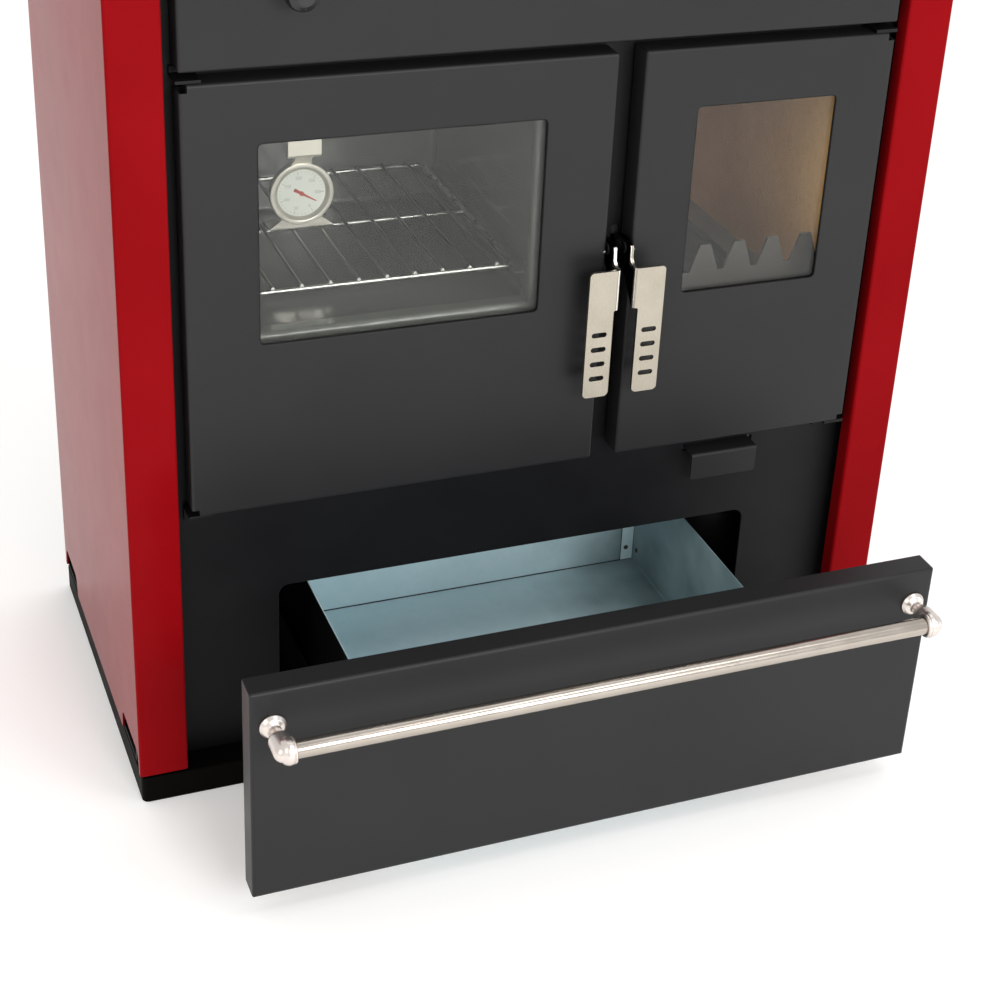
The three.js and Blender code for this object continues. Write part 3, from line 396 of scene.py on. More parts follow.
def galvanisedSteel(name, outside=None):
    # Zinc dipped sheet: spangle crystals 9 mm across, each with its own shade, softened by white bloom.
    # A tray's sheet is given painted shade towards its right end, and turns near black past the given
    # distance from its middle.
    material, tree, shader, where = newMaterial(name, "#B4C2C4", Metallic=0.05, Roughness=0.32)
    crystals = addNode(tree, "TexVoronoi", {"Scale": 1000 / 9}, {"Vector": where})
    tone = addNode(tree, "SeparateColor", {}, {0: crystals.outputs["Color"]}).outputs[0]
    bloom = addNode(tree, "Math", {"operation": "MULTIPLY_ADD", 1: 0.16},
                    {0: tone, 2: grain(tree, where, 60, 3)}).outputs[0]
    shade = colourBlend(tree, bloom, zinc["dark"], zinc["light"], 0.35, 1.0)
    if outside:
        across = addNode(tree, "SeparateXYZ", {}, {0: where}).outputs[0]
        # painted shade: the sheet darkens towards its right end, with a noisy edge
        rightEndShadeRamp = addNode(tree, "Math", {"operation": "MULTIPLY_ADD", 1: 0.16},
                         {0: grain(tree, where, 90, 3), 2: across}).outputs[0]
        shade = colourBlend(tree, rightEndShadeRamp, shade, zinc["rightEndShade"], *zinc["rightEndShadeSpan"])
        # past the given distance from the middle, the outer faces turn near black
        away = addNode(tree, "Math", {"operation": "ABSOLUTE"}, {0: across}).outputs[0]
        shade = colourBlend(tree, away, shade, zinc["paint"], outside - 0.0003, outside)
    finish(tree, shader, shade, grain(tree, where, 80, 2), (0.28, 0.36))
    return material


def castIron(name, first, second, rough):
    # Sand cast iron with a ground face: coarse skin with pits, dull metal sheen.
    material, tree, shader, where = newMaterial(name, first, Metallic=0.7)
    pits = grain(tree, where, 2.2, 5, rough=0.65)
    shade = colourBlend(tree, grain(tree, where, 40, 4), first, second)
    finish(tree, shader, shade, pits, rough, height=pits, relief=0.12)
    return material


def fireBoard():
    # Pressed vermiculite board: golden and matt, browned towards the rear by painted shade, with clouds and
    # faint flakes.
    material, tree, shader, where = newMaterial("vermiculiteBoard", board["front"], Roughness=0.9)
    along = addNode(tree, "SeparateXYZ", {}, {0: where}).outputs[1]
    # painted shade: darker towards the rear, away from the door window
    shade = colourBlend(tree, along, board["front"], board["rear"], *board["rearShadeSpan"])
    for spots in (board["clouds"], board["flakes"]):
        pattern = grain(tree, where, spots["size"], spots["detail"])
        limits = {"From Min": spots["low"], "From Max": spots["high"], "To Max": spots["strength"]}
        share = addNode(tree, "MapRange", limits, {"Value": pattern})
        stain = {"data_type": "RGBA", "blend_type": "MULTIPLY", 7: linearColour(board["stain"])}
        shade = addNode(tree, "Mix", stain, {0: share.outputs[0], 6: shade}).outputs[2]
    finish(tree, shader, shade)
    return material


def clearGlass():
    # Heat-proof glass ceramic: clear, faintly warm, and rays from lamps pass through it.
    material, tree, shader, _ = newMaterial("heatProofGlass", "#F4F5F2", **{
        "Roughness": 0.0, "IOR": 1.35, "Transmission Weight": 1.0})
    lamp = addNode(tree, "BsdfTransparent", {"Color": (0.92, 0.92, 0.92, 1)})
    path = addNode(tree, "LightPath").outputs["Is Shadow Ray"]
    mixed = addNode(tree, "MixShader", {}, {0: path, 1: shader.outputs[0], 2: lamp.outputs[0]})
    out = next(n for n in tree.nodes if n.type == "OUTPUT_MATERIAL")
    tree.links.new(mixed.outputs[0], out.inputs["Surface"])
    return material


def glassRope():
    # Knitted glass-fibre cord: two sets of slanting yarns 2.4 mm apart.
    material, tree, shader, where = newMaterial("glassFibreRope", "#77746D", Roughness=0.95)
    yarns = []
    for slant in ((1, 0.6, 1), (1, 0.6, -1)):
        along = addNode(tree, "VectorMath", {"operation": "DOT_PRODUCT", 1: slant}, {0: where})
        phase = addNode(tree, "Math", {"operation": "MULTIPLY", 1: 2 * math.pi / 0.0024},
                        {0: along.outputs["Value"]})
        yarns.append(addNode(tree, "Math", {"operation": "SINE"}, {0: phase.outputs[0]}).outputs[0])
    weave = addNode(tree, "Math", {"operation": "MULTIPLY"}, {0: yarns[0], 1: yarns[1]}).outputs[0]
    shade = colourBlend(tree, weave, "#55534D", "#8B887F", -1, 1)
    finish(tree, shader, shade, height=weave, strength=0.8, relief=0.6)
    return material


sheen = "Specular IOR Level"
# Board tones: the front and rear ends of the painted shade with its span along y, then the clouds and flakes.
board = {"front": "#FFD28C", "rear": "#BE935B", "stain": "#DDD2BA", "rearShadeSpan": (-0.15, 0.06),
         "clouds": {"size": 150, "detail": 3, "low": 0.4, "high": 0.65, "strength": 0.55},
         "flakes": {"size": 5, "detail": 2, "low": 0.5, "high": 0.75, "strength": 0.35}}
# Spangle tones, the painted shade of the tray's right end with its span, and the near black of the tray's
# outer faces.
zinc = {"dark": "#CFEAF0", "light": "#DDF4FA", "rightEndShade": "#73888C", "rightEndShadeSpan": (0.17, 0.29), "paint": "#060708"}
# Lever folds: where the painted highlight lies, its painted shade band, and where the painted shadow begins.
leverFold = {"middle": 0.0655, "reach": 0.0088, "paintedHighlight": "#F4EFE8", "shade": "#8D867B", "black": "#090909",
             "blacked": -0.2152, "armDepth": 0.0105, "armFoot": 0.499}
redEnamel = coated("redEnamel", "#820A10", "#79070C", (0.12, 0.17), 60, 0.02, **{sheen: 0.02})
charcoalPowder = coated("charcoalPowderCoat", "#212122", "#1E1E1F", (0.38, 0.45), 1.6, 0.012, **{sheen: 0.24})
blackPowder = coated("blackHeatPaint", "#101012", "#0D0D0F", (0.42, 0.52), 1.8, 0.012, **{sheen: 0.2})
plinthPaint = coated("plinthHeatPaint", "#0A0907", "#080706", (0.45, 0.55), 1.8, 0.012, **{sheen: 0.02})
ovenEnamel = coated("greyOvenEnamel", "#4B4E49", "#454844", (0.1, 0.14), 70, 0.01, **{sheen: 0.6})
greySteel = brushed("rolledSteel", "#6E6F6C", "#7C7D7A", (0.34, 0.46), (1, 1, 14))
zincSteel = galvanisedSteel("galvanisedSteel")
traySteel = galvanisedSteel("galvanisedTraySheet", 0.1999)
seamBlack = newMaterial("seamSealant", "#1C2224", Roughness=0.7)[0]
latchBlack = coated("blackedSteel", "#0A0A0B", "#0D0D0E", (0.5, 0.6), 2, 0.01, **{sheen: 0.15})
bakedSteel = coated("heatScaledSteel", "#393633", "#32302D", (0.42, 0.5), 3, 0.02, **{sheen: 0.4})
hearthSteel = coated("ashDustedSteel", "#655C50", "#5B5348", (0.6, 0.7), 5, 0.05, **{sheen: 0.3})
caseSteel = brushed("polishedCaseSteel", "#C8C4B9", "#D1CDC3", (0.28, 0.34), (1, 1, 12), 0.6, 0.001,
                    Metallic=0.55)
satinSteelPaintedLight = foldedSteel("satinStainlessPaintedLight", "#A69F92", "#AEA79A", leverFold)
tubeSteel = brushed("drawnStainlessTube", "#ADA49A", "#B9B1A8", (0.2, 0.26), (40, 1, 1), 0.5, 0.003)
chromePlate = newMaterial("chromePlate", "#DDD4CE", Metallic=1.0, Roughness=0.31)[0]
wireChrome = brushed("chromedWire", "#AEAEAA", "#BABAB6", (0.24, 0.32), (8, 1, 1), 1.5, 0.003)
# A darker copy of the chromed wire for the lengthwise rack wires: painted shade.
shadedWire = brushed("chromedWireShaded", "#777772", "#83837E", (0.34, 0.42), (1, 8, 1), 1.5, 0.003)
hobIron = castIron("groundCastIron", "#2B2A2A", "#343332", (0.34, 0.46))
grateIron = castIron("castIron", "#222121", "#2B2A29", (0.55, 0.7))
boardTan = fireBoard()
paneGlass = clearGlass()
sealRope = glassRope()
dialWhite = coated("dialEnamel", "#D3D6CE", "#CDD0C8", (0.35, 0.4), 4, 0.005)
dialInk = newMaterial("dialInk", "#9DA19C", Roughness=0.6)[0]
needleRed = newMaterial("needlePaint", "#A6423B", Roughness=0.4)[0]
knobBlack = coated("phenolicKnob", "#141415", "#19191A", (0.28, 0.36), 3, 0.01)
print("materials mixed")


# ---- casing ----
casing = {"sheet": 2, "fold": 2.8, "inner": 0.9, "return": 17, "column": 45, "flange": 25,
          "notchFront": (6, 82), "notchRear": (316, 382), "notchTop": 22, "notchSlope": 3, "notchArc": 9}


def sideCasing(name, side):
    # A C-shaped sheet: column return, column face, side and rear flange, drawn up, with notches at its foot.
    (x0, x1), (y0, y1), (z0, z1) = nodeBox(name)
    out, s = max(abs(x0), abs(x1)), casing["sheet"]
    inner, rear = out - casing["column"], out - casing["flange"]
    outline = [(inner, y0 + casing["return"]), (inner, y0), (out, y0), (out, y1), (rear, y1), (rear, y1 - s),
               (out - s, y1 - s), (out - s, y0 + s), (inner + s, y0 + s), (inner + s, y0 + casing["return"])]
    f, i = casing["fold"], casing["inner"]
    path = fillet(outline, [0.3, f, f, f, 0.3, 0.3, i, i, i, 0.3], 5) * (side, 1)
    cuts = []
    for start, end in (casing["notchFront"], casing["notchRear"]):
        top, arc, slope = z0 + casing["notchTop"], casing["notchArc"], casing["notchSlope"]
        hole = [(y0 + start, z0 - 3), (y0 + end, z0 - 3), (y0 + end - slope, top), (y0 + start + slope, top)]
        through = ordered(side * (out + 3), side * (out - s - 3))
        cuts.append(prism(fillet(hole, [0.3, 0.3, arc, arc]), through, "x"))
    piece(name + "_sheet", [prism(path, (z0, z1), "z")], redEnamel, "stove", [name], edge=0.45, cuts=cuts,
          sharp=40)


plinth = {"corner": 6, "wall": 2.5, "lip": 36, "floor": 30}


def plinthTray():
    # A shallow tray: floor, wall, and a wide lip folded inwards.
    (x0, x1), (y0, y1), (z0, z1) = nodeBox("plinth")
    s, lip, reach = plinth["wall"], plinth["lip"], plinth["floor"]
    profile = fillet([(reach, z0), (0, z0), (0, z1), (lip, z1), (lip, z1 - s), (s, z1 - s), (s, z0 + s),
                      (reach, z0 + s)], [0.1, 1.4, 1.8, 0.5, 0.5, 0.8, 0.8, 0.1], 4, closed=False)
    piece("plinth_tray", [pan((x0, x1), (y0, y1), profile, plinth["corner"], "z")], plinthPaint, "stove",
          ["plinth"])


sideCasing("side_casing_left", -1)
sideCasing("side_casing_right", 1)
plinthTray()
print("casing folded")


# ---- front plate, roof and rear ----
plate = {"drawerMouth": ((-239.5, 239.5), (44, 197), 10), "fireMouth": ((108, 294), (328, 664), 3),
         "ovenLap": 5.7, "ovenCorner": 2, "slideGap": (3, -4.5, 2.5), "slideCorner": 1.2,
         "leverSlot": (8, 484, 524), "leverCorner": 3.5, "legHalf": 1.25, "rodHole": 4.3}


def frontPlate():
    # A flat sheet cut through for oven, drawer, fire, air slide, latch levers and damper rod.
    x, (y0, y1), z = nodeBox("front_plate")
    near, far = y0 - 2, y1 + 2
    liner, slide, rod = nodeBox("oven_liner"), nodeBox("air_slide"), nodeBox("damper_knob")
    lap, (beside, under, over) = plate["ovenLap"], plate["slideGap"]
    holes = [((liner[0][0] + lap, liner[0][1] - lap), (liner[2][0] + lap, liner[2][1] - lap),
              plate["ovenCorner"]), plate["drawerMouth"], plate["fireMouth"],
             ((slide[0][0] - beside, slide[0][1] + beside), (slide[2][1] + under, slide[2][1] + over),
              plate["slideCorner"])]
    (width, foot, head), leg = plate["leverSlot"], plate["legHalf"]
    for middle in (nodeBox("oven_handle")[0][1] - leg, nodeBox("fire_handle")[0][0] + leg):
        holes.append(((middle - width / 2, middle + width / 2), (foot, head), plate["leverCorner"]))
    cuts = [pan(u, v, [(0, near), (0, far)], corner, "y") for u, v, corner in holes]
    r = plate["rodHole"]
    cuts.append(turned([(0, near), (r, near), (r, far), (0, far)], (rod[0].mean(), 0, rod[2].mean()), "y"))
    piece("front_plate_sheet", [box(x, (y0, y1), z)], blackPowder, "stove", ["front_plate"], edge=0.5,
          cuts=cuts)


rearScrews = {"radius": 4.2, "rim": 0.8, "rise": 1.3, "rows": 5, "edge": 31, "foot": 60, "head": 50}


def screwRear():
    # Two columns of domed heads on the rear sheet.
    (x0, x1), (_, y1), (z0, z1) = nodeBox("back_panel")
    s = rearScrews
    profile = dome(s["radius"], s["rim"], s["rise"])
    heads = [turned(profile, (x, y1 + 0.05, z), "y", 20) for x in (x0 + s["edge"], x1 - s["edge"])
             for z in np.linspace(z0 + s["foot"], z1 - s["head"], s["rows"])]
    piece("rear_screws", heads, greySteel, "stove")


frontPlate()
for node, film in (("floor_panel", blackPowder), ("compartment_roof", greySteel), ("back_panel", blackPowder),
                   ("latch_keeper", greySteel), ("flue_box", greySteel), ("air_guide", greySteel),
                   ("drawer_runner_left", greySteel), ("drawer_runner_right", greySteel)):
    softened(node, film, "stove", 0.4, 2)
screwRear()
print("body plates made")


# ---- doors ----
doors = {"sheet": 2, "fold": 2.6, "corner": 2.2, "hingeReturn": 21, "notch": (7, 6.5), "windowCorner": 5,
         "glassLap": 12, "block": (18, 12, 18), "rope": 5.0, "ropeCorner": 14, "ropeFlat": 0.72}


def foldedRim(y0, y1, sheet, fold, edge, inside, shelf):
    # Edge of a folded panel as (inset, depth): front face, fold, return, its rear edge, and the inner face.
    rim = fillet([(60, y0), (0, y0), (0, y1), (sheet, y1), (sheet, y0 + sheet), (60, y0 + sheet)],
                 [0, fold, edge, edge, inside, 0], 6, closed=False)
    return np.concatenate([rim[1:2] + (1.5, 0), rim[1:-1], rim[-2:-1] + (shelf, 0)])


def doorShell(prefix, hinge, body, windowX, windowZ):
    # The rim and the window's edge make one closed skin, notched on the hinge side for its blocks.
    (x0, x1), (y0, y1), (z0, z1) = nodeBox(prefix + "_door")
    s = doors["sheet"]
    outer = foldedRim(y0, y1, s, doors["fold"], 0.5, 0.9, 6)[::-1]
    loops = rectLoops((x0, x1), (z0, z1), outer[:, 0], doors["corner"])
    rim = fillet([(-3, y0), (0, y0), (0, y0 + s), (-3, y0 + s)], [0, 0.5, 0.5, 0], 3, closed=False)
    window = rectLoops(windowX, windowZ, rim[:, 0], doors["windowCorner"])
    points = np.concatenate([place(window, rim[:, 1][:, None], "y"), place(loops, outer[:, 1][:, None], "y")])
    folded = (points.reshape(-1, 3), gridFaces(*points.shape[:2], wrapRows=True, wrapColumns=True))

    def fromHinge(a, b):
        edge = x0 if hinge < 0 else x1
        return ordered(edge - hinge * a, edge - hinge * b)

    (notchWide, notchHigh), (blockWide, blockHigh, blockDeep) = doors["notch"], doors["block"]
    cuts = [box(fromHinge(-2, s + 0.6), (y0 + doors["hingeReturn"], y1 + 2), (z0 - 2, z1 + 2))]
    blocks = []
    for end, inward in ((z1, -1), (z0, 1)):
        cuts.append(box(fromHinge(-2, notchWide), (y0 - 2, y1 + 2),
                        ordered(end - inward * 2, end + inward * notchHigh)))
        blocks.append(box(fromHinge(notchWide + 0.2, blockWide), (y0 + s + 0.1, y0 + blockDeep),
                          ordered(end + inward * (s + 0.1), end + inward * (s + blockHigh))))
    piece(prefix + "_door_shell", [folded], charcoalPowder, body, [prefix + "_door"], cuts=cuts, sharp=32)
    piece(prefix + "_hinge_blocks", blocks, greySteel, body, edge=0.4)


def door(prefix, hinge, body):
    glass, front, lap = nodeBox(prefix + "_glass"), nodeBox(prefix + "_door")[1][0], doors["glassLap"]
    windowX, windowZ = ((glass[k][0] + lap, glass[k][1] - lap) for k in (0, 2))
    doorShell(prefix, hinge, body, windowX, windowZ)
    piece(prefix + "_pane", [box(*glass)], paneGlass, body, [prefix + "_glass"], edge=0.6, segments=2)
    near, far = front + 0.5, glass[1][0] - 0.02
    seal = [(0.02, near), (0.7, near), (0.7, far), (0.02, far)]
    piece(prefix + "_pane_seal", [pan(windowX, windowZ, seal, doors["windowCorner"], "y", caps=False)],
          latchBlack, body)
    for end in ("top", "bottom"):
        softened(f"{prefix}_glass_clip_{end}", greySteel, body, 0.4, 2)
    softened(prefix + "_door_liner", blackPowder, body, 0.4, 2)
    softened(prefix + "_latch_bolt", greySteel, body, 0.5, 3)
    for end in ("top", "bottom"):
        softened(f"{prefix}_hinge_{end}", blackPowder, "stove", 0.6, 3)
    sealCord(prefix, body)


def sealCord(prefix, body):
    # A flattened rope round the door's inner side; its straight runs are cut every 20 mm.
    x, y, z = nodeBox(prefix + "_door_gasket")
    r = doors["rope"]
    corners = rectLoops((x[0] + r, x[1] - r), (z[0] + r, z[1] - r), [0], doors["ropeCorner"], 10)[0]
    path = place(corners, y.mean(), "y")
    ahead = np.roll(path, -1, 0) - path
    parts = np.maximum(2, (np.linalg.norm(ahead, axis=1) / 20).astype(int))
    path = np.concatenate([start + run * np.linspace(0, 1, count, endpoint=False)[:, None]
                           for start, run, count in zip(path, ahead, parts)])
    rope = tube(path, r - 0.3, 14, closed=True, flat=doors["ropeFlat"], across=(0, 1, 0))
    piece(prefix + "_seal_rope", [rope], sealRope, body, [prefix + "_door_gasket"])


door("oven", -1, "oven_door_leaf")
door("fire", 1, "fire_door_leaf")
print("doors hung")


# ---- latch levers ----
lever = {"sheet": 2.8, "fold": 3.6, "grip": (379, 503), "foldFoot": 464, "foldInset": 5, "corner": 4.5,
         "slots": (398, 14.5, 4), "slot": (14.6, 4.8), "slotFromOuter": 12.5, "pivot": (-183, 512),
         "pinHole": 3.3}
cheek = {"thick": 1.8, "gap": 0.4, "front": 15, "rear": 9, "up": 7, "down": 8, "corner": 6,
         "pin": (1.7, 0.4, 0.7), "pinAway": 4.5, "pinFace": -195.05, "pinDown": 0.8}


def latchLever(prefix, t):
    # An L-shaped strip, grip plate in front and leg beside the door, cut to its front and side outlines.
    # t is 1 where the leg is at the right of the plate, and -1 where it is at the left.
    (x0, x1), (y0, y1), (_, z1) = nodeBox(prefix + "_handle")
    outer, fold = (x0, x1) if t > 0 else (x1, x0)
    s, (low, high), (py, pz) = lever["sheet"], lever["grip"], lever["pivot"]
    corner = [(outer, y0), (fold, y0), (fold, y1), (fold - t * s, y1), (fold - t * s, y0 + s),
              (outer, y0 + s)]
    strip = prism(fillet(corner, [0.3, lever["fold"], 0.3, 0.3, 0.7, 0.3], 6), (low, z1), "z")
    foot, inset = lever["foldFoot"], fold - t * lever["foldInset"]
    # From the plate's front up and over the arm to its tongue, and back under it to the plate's rear.
    side = [(y0 - 1, low - 1), (y0 - 1, high), (py - 27, high), (py - 23, pz - 5), (py - 22.5, pz + 7),
            (py - 4, pz + 10), (py + 6, pz + 8), (py + 10, pz - 3), (py + 24, pz - 4), (py + 25, pz + 1),
            (py + 32, pz + 1), (py + 32, pz - 12), (py - 4, pz - 13),
            (y0 + s + 7, foot + 6), (y0 + s + 1.2, foot), (y0 + s + 1.2, low - 1)]
    sideOutline = fillet(side, [0.2, 2, 5, 4, 3.4, 9, 6, 4, 1, 1, 1, 2, 10, 8, 2, 0.2], 5)
    legInside = fold - t * (s + 0.01)
    front = [(outer, low), (inset, low), (inset, foot), (fold + t, foot), (fold + t, z1 + 1),
             (legInside, z1 + 1), (legInside, high), (outer, high)]
    c = lever["corner"]
    frontOutline = fillet(front, [c, c, 1.5, 0.4, 0.4, 0.4, 1.5, c], 5)
    keeps = [prism(sideOutline, ordered(x0 - 2, x1 + 2), "x"), prism(frontOutline, (y0 - 2, y1 + 2), "y")]
    first, pitch, count = lever["slots"]
    width, height = lever["slot"]
    middle = outer + t * lever["slotFromOuter"]
    cuts = [pan((middle - width / 2, middle + width / 2), (z - height / 2, z + height / 2),
                [(0, y0 - 2), (0, y0 + s + 2)], height / 2 - 0.05, "y", 6)
            for z in first + pitch * np.arange(count)]
    r = lever["pinHole"]
    cuts.append(turned([(0, x0 - 3), (r, x0 - 3), (r, x1 + 3), (0, x1 + 3)], (0, py, pz), "x", 24))
    piece(prefix + "_lever", [strip], satinSteelPaintedLight, prefix + "_latch", [prefix + "_handle"], edge=0.6,
          cuts=cuts, keeps=keeps, sharp=40)
    latchCheeks(prefix, t, fold)


def latchCheeks(prefix, t, fold):
    # Two dark lugs, one on each side of the lever, which carry its pin, and the pin's bright end.
    (py, pz), c = lever["pivot"], cheek
    outline = fillet([(py - c["front"], pz - c["down"] + 4), (py - c["front"], pz + c["up"]),
                      (py + c["rear"], pz + c["up"]), (py + c["rear"], pz - c["down"])], c["corner"], 6)
    left, right = ordered(fold, fold - t * lever["sheet"])
    gap, thick, body = c["gap"], c["thick"], prefix + "_door_leaf"
    lugs = [prism(outline, (left - gap - thick, left - gap), "x"),
            prism(outline, (right + gap, right + gap + thick), "x")]
    piece(prefix + "_latch_cheeks", lugs, latchBlack, body, edge=0.5)
    pinX = left - c["pinAway"] if t > 0 else right + c["pinAway"]
    pin = turned(dome(*c["pin"], 6) * (1, -1), (pinX, c["pinFace"], pz - c["pinDown"]), "y", 16)
    piece(prefix + "_latch_pin_end", [pin], greySteel, body)


latchLever("oven", 1)
latchLever("fire", -1)
print("levers bent")


# ---- oven ----
oven = {"sheet": 2, "rim": 8, "roll": 5, "lip": 9, "ledge": 18, "corner": 16}


def ovenLiner():
    # Rim flange, raised rolled lip, and cavity walls with rounded corners.
    (x0, x1), (y0, y1), (z0, z1) = nodeBox("oven_liner")
    rim, s = oven["rim"], oven["sheet"]
    crest, ledge = rim + oven["lip"], y0 + oven["ledge"]
    profile = fillet([(0, y0 + 3), (0, y0), (crest, y0), (crest, ledge), (rim, ledge + 3), (rim, y1 - s),
                      (60, y1 - s)], [0, 1.2, oven["roll"], 3, 3, 5, 0], 7, closed=False)
    back = fillet([(60, y1), (rim - s, y1), (rim - s, y0 + 3), (1, y0 + 3)], [0, 3, 1, 0], 3, closed=False)
    section = np.concatenate([profile[::-1], back[::-1]])
    piece("oven_box", [pan((x0, x1), (z0, z1), section, oven["corner"], "y")], ovenEnamel, "stove",
          ["oven_liner"])


rack = {"frame": 2.0, "wire": 1.5, "pitch": 25.8, "count": 9, "middle": -17.5, "corner": 9, "bead": 2.1}


def ovenRack():
    # Round frame wire, lengthwise wires welded on so that their ends stand forward, and a bar below them.
    (x0, x1), (y0, y1), (z0, _) = nodeBox("oven_rack")
    r, q, b = rack["frame"], rack["wire"], rack["bead"]
    z, middle = z0 + r, (x0 + x1) / 2
    loop = rectLoops((x0 + r, x1 - r), (y0 + r, y1 - r), [0], rack["corner"], 8)[0]
    shells, rods = [tube(place(loop, z, "z"), r, 12, closed=True)], []
    up = z + r + q - 0.8
    for x in middle + (np.arange(rack["count"]) - (rack["count"] - 1) / 2) * rack["pitch"]:
        rods.append(tube([(x, y0 + 2.6, up), (x, y1 - 0.4, up)], q, 10))
        bead = fillet([(0, y0 + 0.1), (b, y0 + 0.1), (b, y0 + 3), (0, y0 + 3)], [0, 0.5, 0.8, 0], 2,
                      closed=False)
        shells.append(turned(bead, (x, 0, up + 0.3), "y", 12))
    shells.append(tube([(x0 + r, rack["middle"], z - 0.4), (x1 - r, rack["middle"], z - 0.4)], q, 10))
    piece("oven_rack_frame", shells, wireChrome, "stove", ["oven_rack"], sharp=50)
    # the lengthwise wires take the darker copy of the chrome, as painted shade
    piece("oven_rack_wires", rods, shadedWire, "stove", sharp=50)


ovenLiner()
ovenRack()
softened("rack_runner_left", ovenEnamel, "stove", 0.5, 2)
softened("rack_runner_right", ovenEnamel, "stove", 0.5, 2)

thermometer = {"radius": 30, "dial": 22.5, "depth": 10, "recess": 2.9, "sheet": 1.2, "bezel": 1.5,
               "flange": 4, "foot": (60, 22), "footTop": (18.5, 10), "standArc": (-54, -126),
               "plate": (31, 16.5), "ahead": 10.5, "neck": 16.5, "ticks": 30, "firstTick": -60, "sweep": 300,
               "longTick": (3.2, 0.3), "shortTick": (1.8, 0.18), "tickRim": 1.2, "figureRim": 7.4,
               "figureSize": 0.0042, "figures": ("0", "50", "100", "150", "200", "250", "300")}


def thermometerCase(cx, cz, front):
    # Cup with a flat rolled bezel and a wall sloping down to the dial, on a bent stand that ends in an arc.
    t, case, dial = thermometer, nodeBox("thermometer_case"), nodeBox("thermometer_dial")
    r, d, back = t["radius"], t["dial"], front + t["depth"]
    base, top, dialRear = case[2][0], case[2][1], dial[1][1]
    cup = fillet([(0, back), (r - 1.5, back), (r, back - 4), (r, front), (r - t["flange"], front + 0.2),
                  (d + 0.5, dialRear + 0.1), (d + 0.5, dialRear + 0.4), (0, dialRear + 0.4)],
                 [0, 2, 1.5, 1.3, 1.5, 0.1, 0.1, 0], 4, closed=False)
    sheet = (front + t["bezel"], front + t["bezel"] + t["sheet"])
    footW, footD = t["foot"][0] / 2, t["foot"][1]
    wide, high = t["footTop"]
    under = np.radians(np.linspace(*t["standArc"], 13))
    arc = np.stack([cx + (r - 1.5) * np.cos(under), cz + (r - 1.5) * np.sin(under)], -1)
    stand = fillet([(cx - footW, base), (cx + footW, base), (cx + footW, base + 1.3),
                    (cx + wide, base + high), *arc, (cx - wide, base + high), (cx - footW, base + 1.3)],
                   [0.3, 0.3, 0.5, 1] + [0.05] * len(arc) + [1, 0.5], 4)
    foot = box((cx - footW, cx + footW), (sheet[0], sheet[0] + footD), (base, base + t["sheet"]))
    piece("thermometer_body", [turned(cup, (cx, 0, cz), "y", 64), prism(stand, sheet, "y"), foot], caseSteel,
          "stove", ["thermometer_case"], edge=0.2, segments=2, sharp=45)
    # Hook: a narrow neck leans forward from the cup and widens into an upright plate.
    plateW, neck, plateFoot = t["plate"][0] / 2, t["neck"] / 2, top - t["plate"][1]
    low, hookFront, hookRear = cz + r - 5, sheet[0] - t["ahead"], sheet[1] - t["ahead"]
    strip = fillet([(sheet[0], low), (sheet[0], low + 5), (hookFront, plateFoot + 2), (hookFront, top),
                    (hookRear, top), (hookRear, plateFoot + 2.6), (sheet[1], low + 5.6), (sheet[1], low)],
                   [0.1, 2, 2, 0.4, 0.4, 2, 2, 0.1], 4)
    outline = fillet([(cx - neck - 3, low - 1), (cx + neck + 3, low - 1), (cx + neck, low + 8),
                      (cx + neck, plateFoot), (cx + plateW, plateFoot), (cx + plateW, top + 1),
                      (cx - plateW, top + 1), (cx - plateW, plateFoot), (cx - neck, plateFoot),
                      (cx - neck, low + 8)], [0.2, 0.2, 3, 1, 0.8, 0.2, 0.2, 0.8, 1, 3], 4)
    piece("thermometer_hook", [prism(strip, (cx - plateW - 1, cx + plateW + 1), "x")], caseSteel, "stove",
          keeps=[prism(outline, (sheet[0] - 30, sheet[1] + 10), "y")], edge=0.2, segments=2, sharp=45)


def thermometerDial(cx, cz, face, rear):
    # A flat disc, printed ticks as thin bars from the rim inwards, and plain figures inside every fifth one.
    t, d = thermometer, thermometer["dial"]
    piece("thermometer_face", [turned([(0, face), (d, face), (d, rear), (0, rear)], (cx, 0, cz), "y", 64)],
          dialWhite, "stove", ["thermometer_dial"])
    angle = np.radians(t["firstTick"] - np.linspace(0, t["sweep"], t["ticks"] + 1))
    marks = []
    for k, a in enumerate(angle):
        length, half = t["longTick"] if k % 5 == 0 else t["shortTick"]
        out, across = np.array([math.cos(a), math.sin(a)]), np.array([-math.sin(a), math.cos(a)]) * half
        outer, inner = out * (d - t["tickRim"]), out * (d - t["tickRim"] - length)
        quad = np.array([outer + across, outer - across, inner - across, inner + across]) + (cx, cz)
        marks.append(prism(quad, (face - 0.12, face + 0.02), "y"))
    piece("thermometer_marks", marks, dialInk, "stove")
    bm = bmesh.new()
    for text, a in zip(t["figures"], angle[::5]):
        curve = bpy.data.curves.new("figure", "FONT")
        curve.body, curve.size, curve.extrude = text, t["figureSize"], 0.00005
        curve.align_x = curve.align_y = "CENTER"
        label = bpy.data.objects.new("figure", curve)
        scene.collection.objects.link(label)
        bpy.context.view_layer.update()
        mesh = bpy.data.meshes.new_from_object(label)
        away = d - t["figureRim"]
        spot = np.array([cx + away * math.cos(a), face - 0.1, cz + away * math.sin(a)]) / 1000
        mesh.transform(Matrix.Translation(spot) @ Matrix.Rotation(math.pi / 2, 4, "X"))
        bm.from_mesh(mesh)
        bpy.data.objects.remove(label)
    bmesh.ops.remove_doubles(bm, verts=bm.verts, dist=1e-6)
    joined = bpy.data.meshes.new("thermometer_figures")
    bm.to_mesh(joined)
    bm.free()
    joined.materials.clear()
    joined.materials.append(dialInk)
    figures = bpy.data.objects.new("thermometer_figures", joined)
    scene.collection.objects.link(figures)
    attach(figures, "stove")


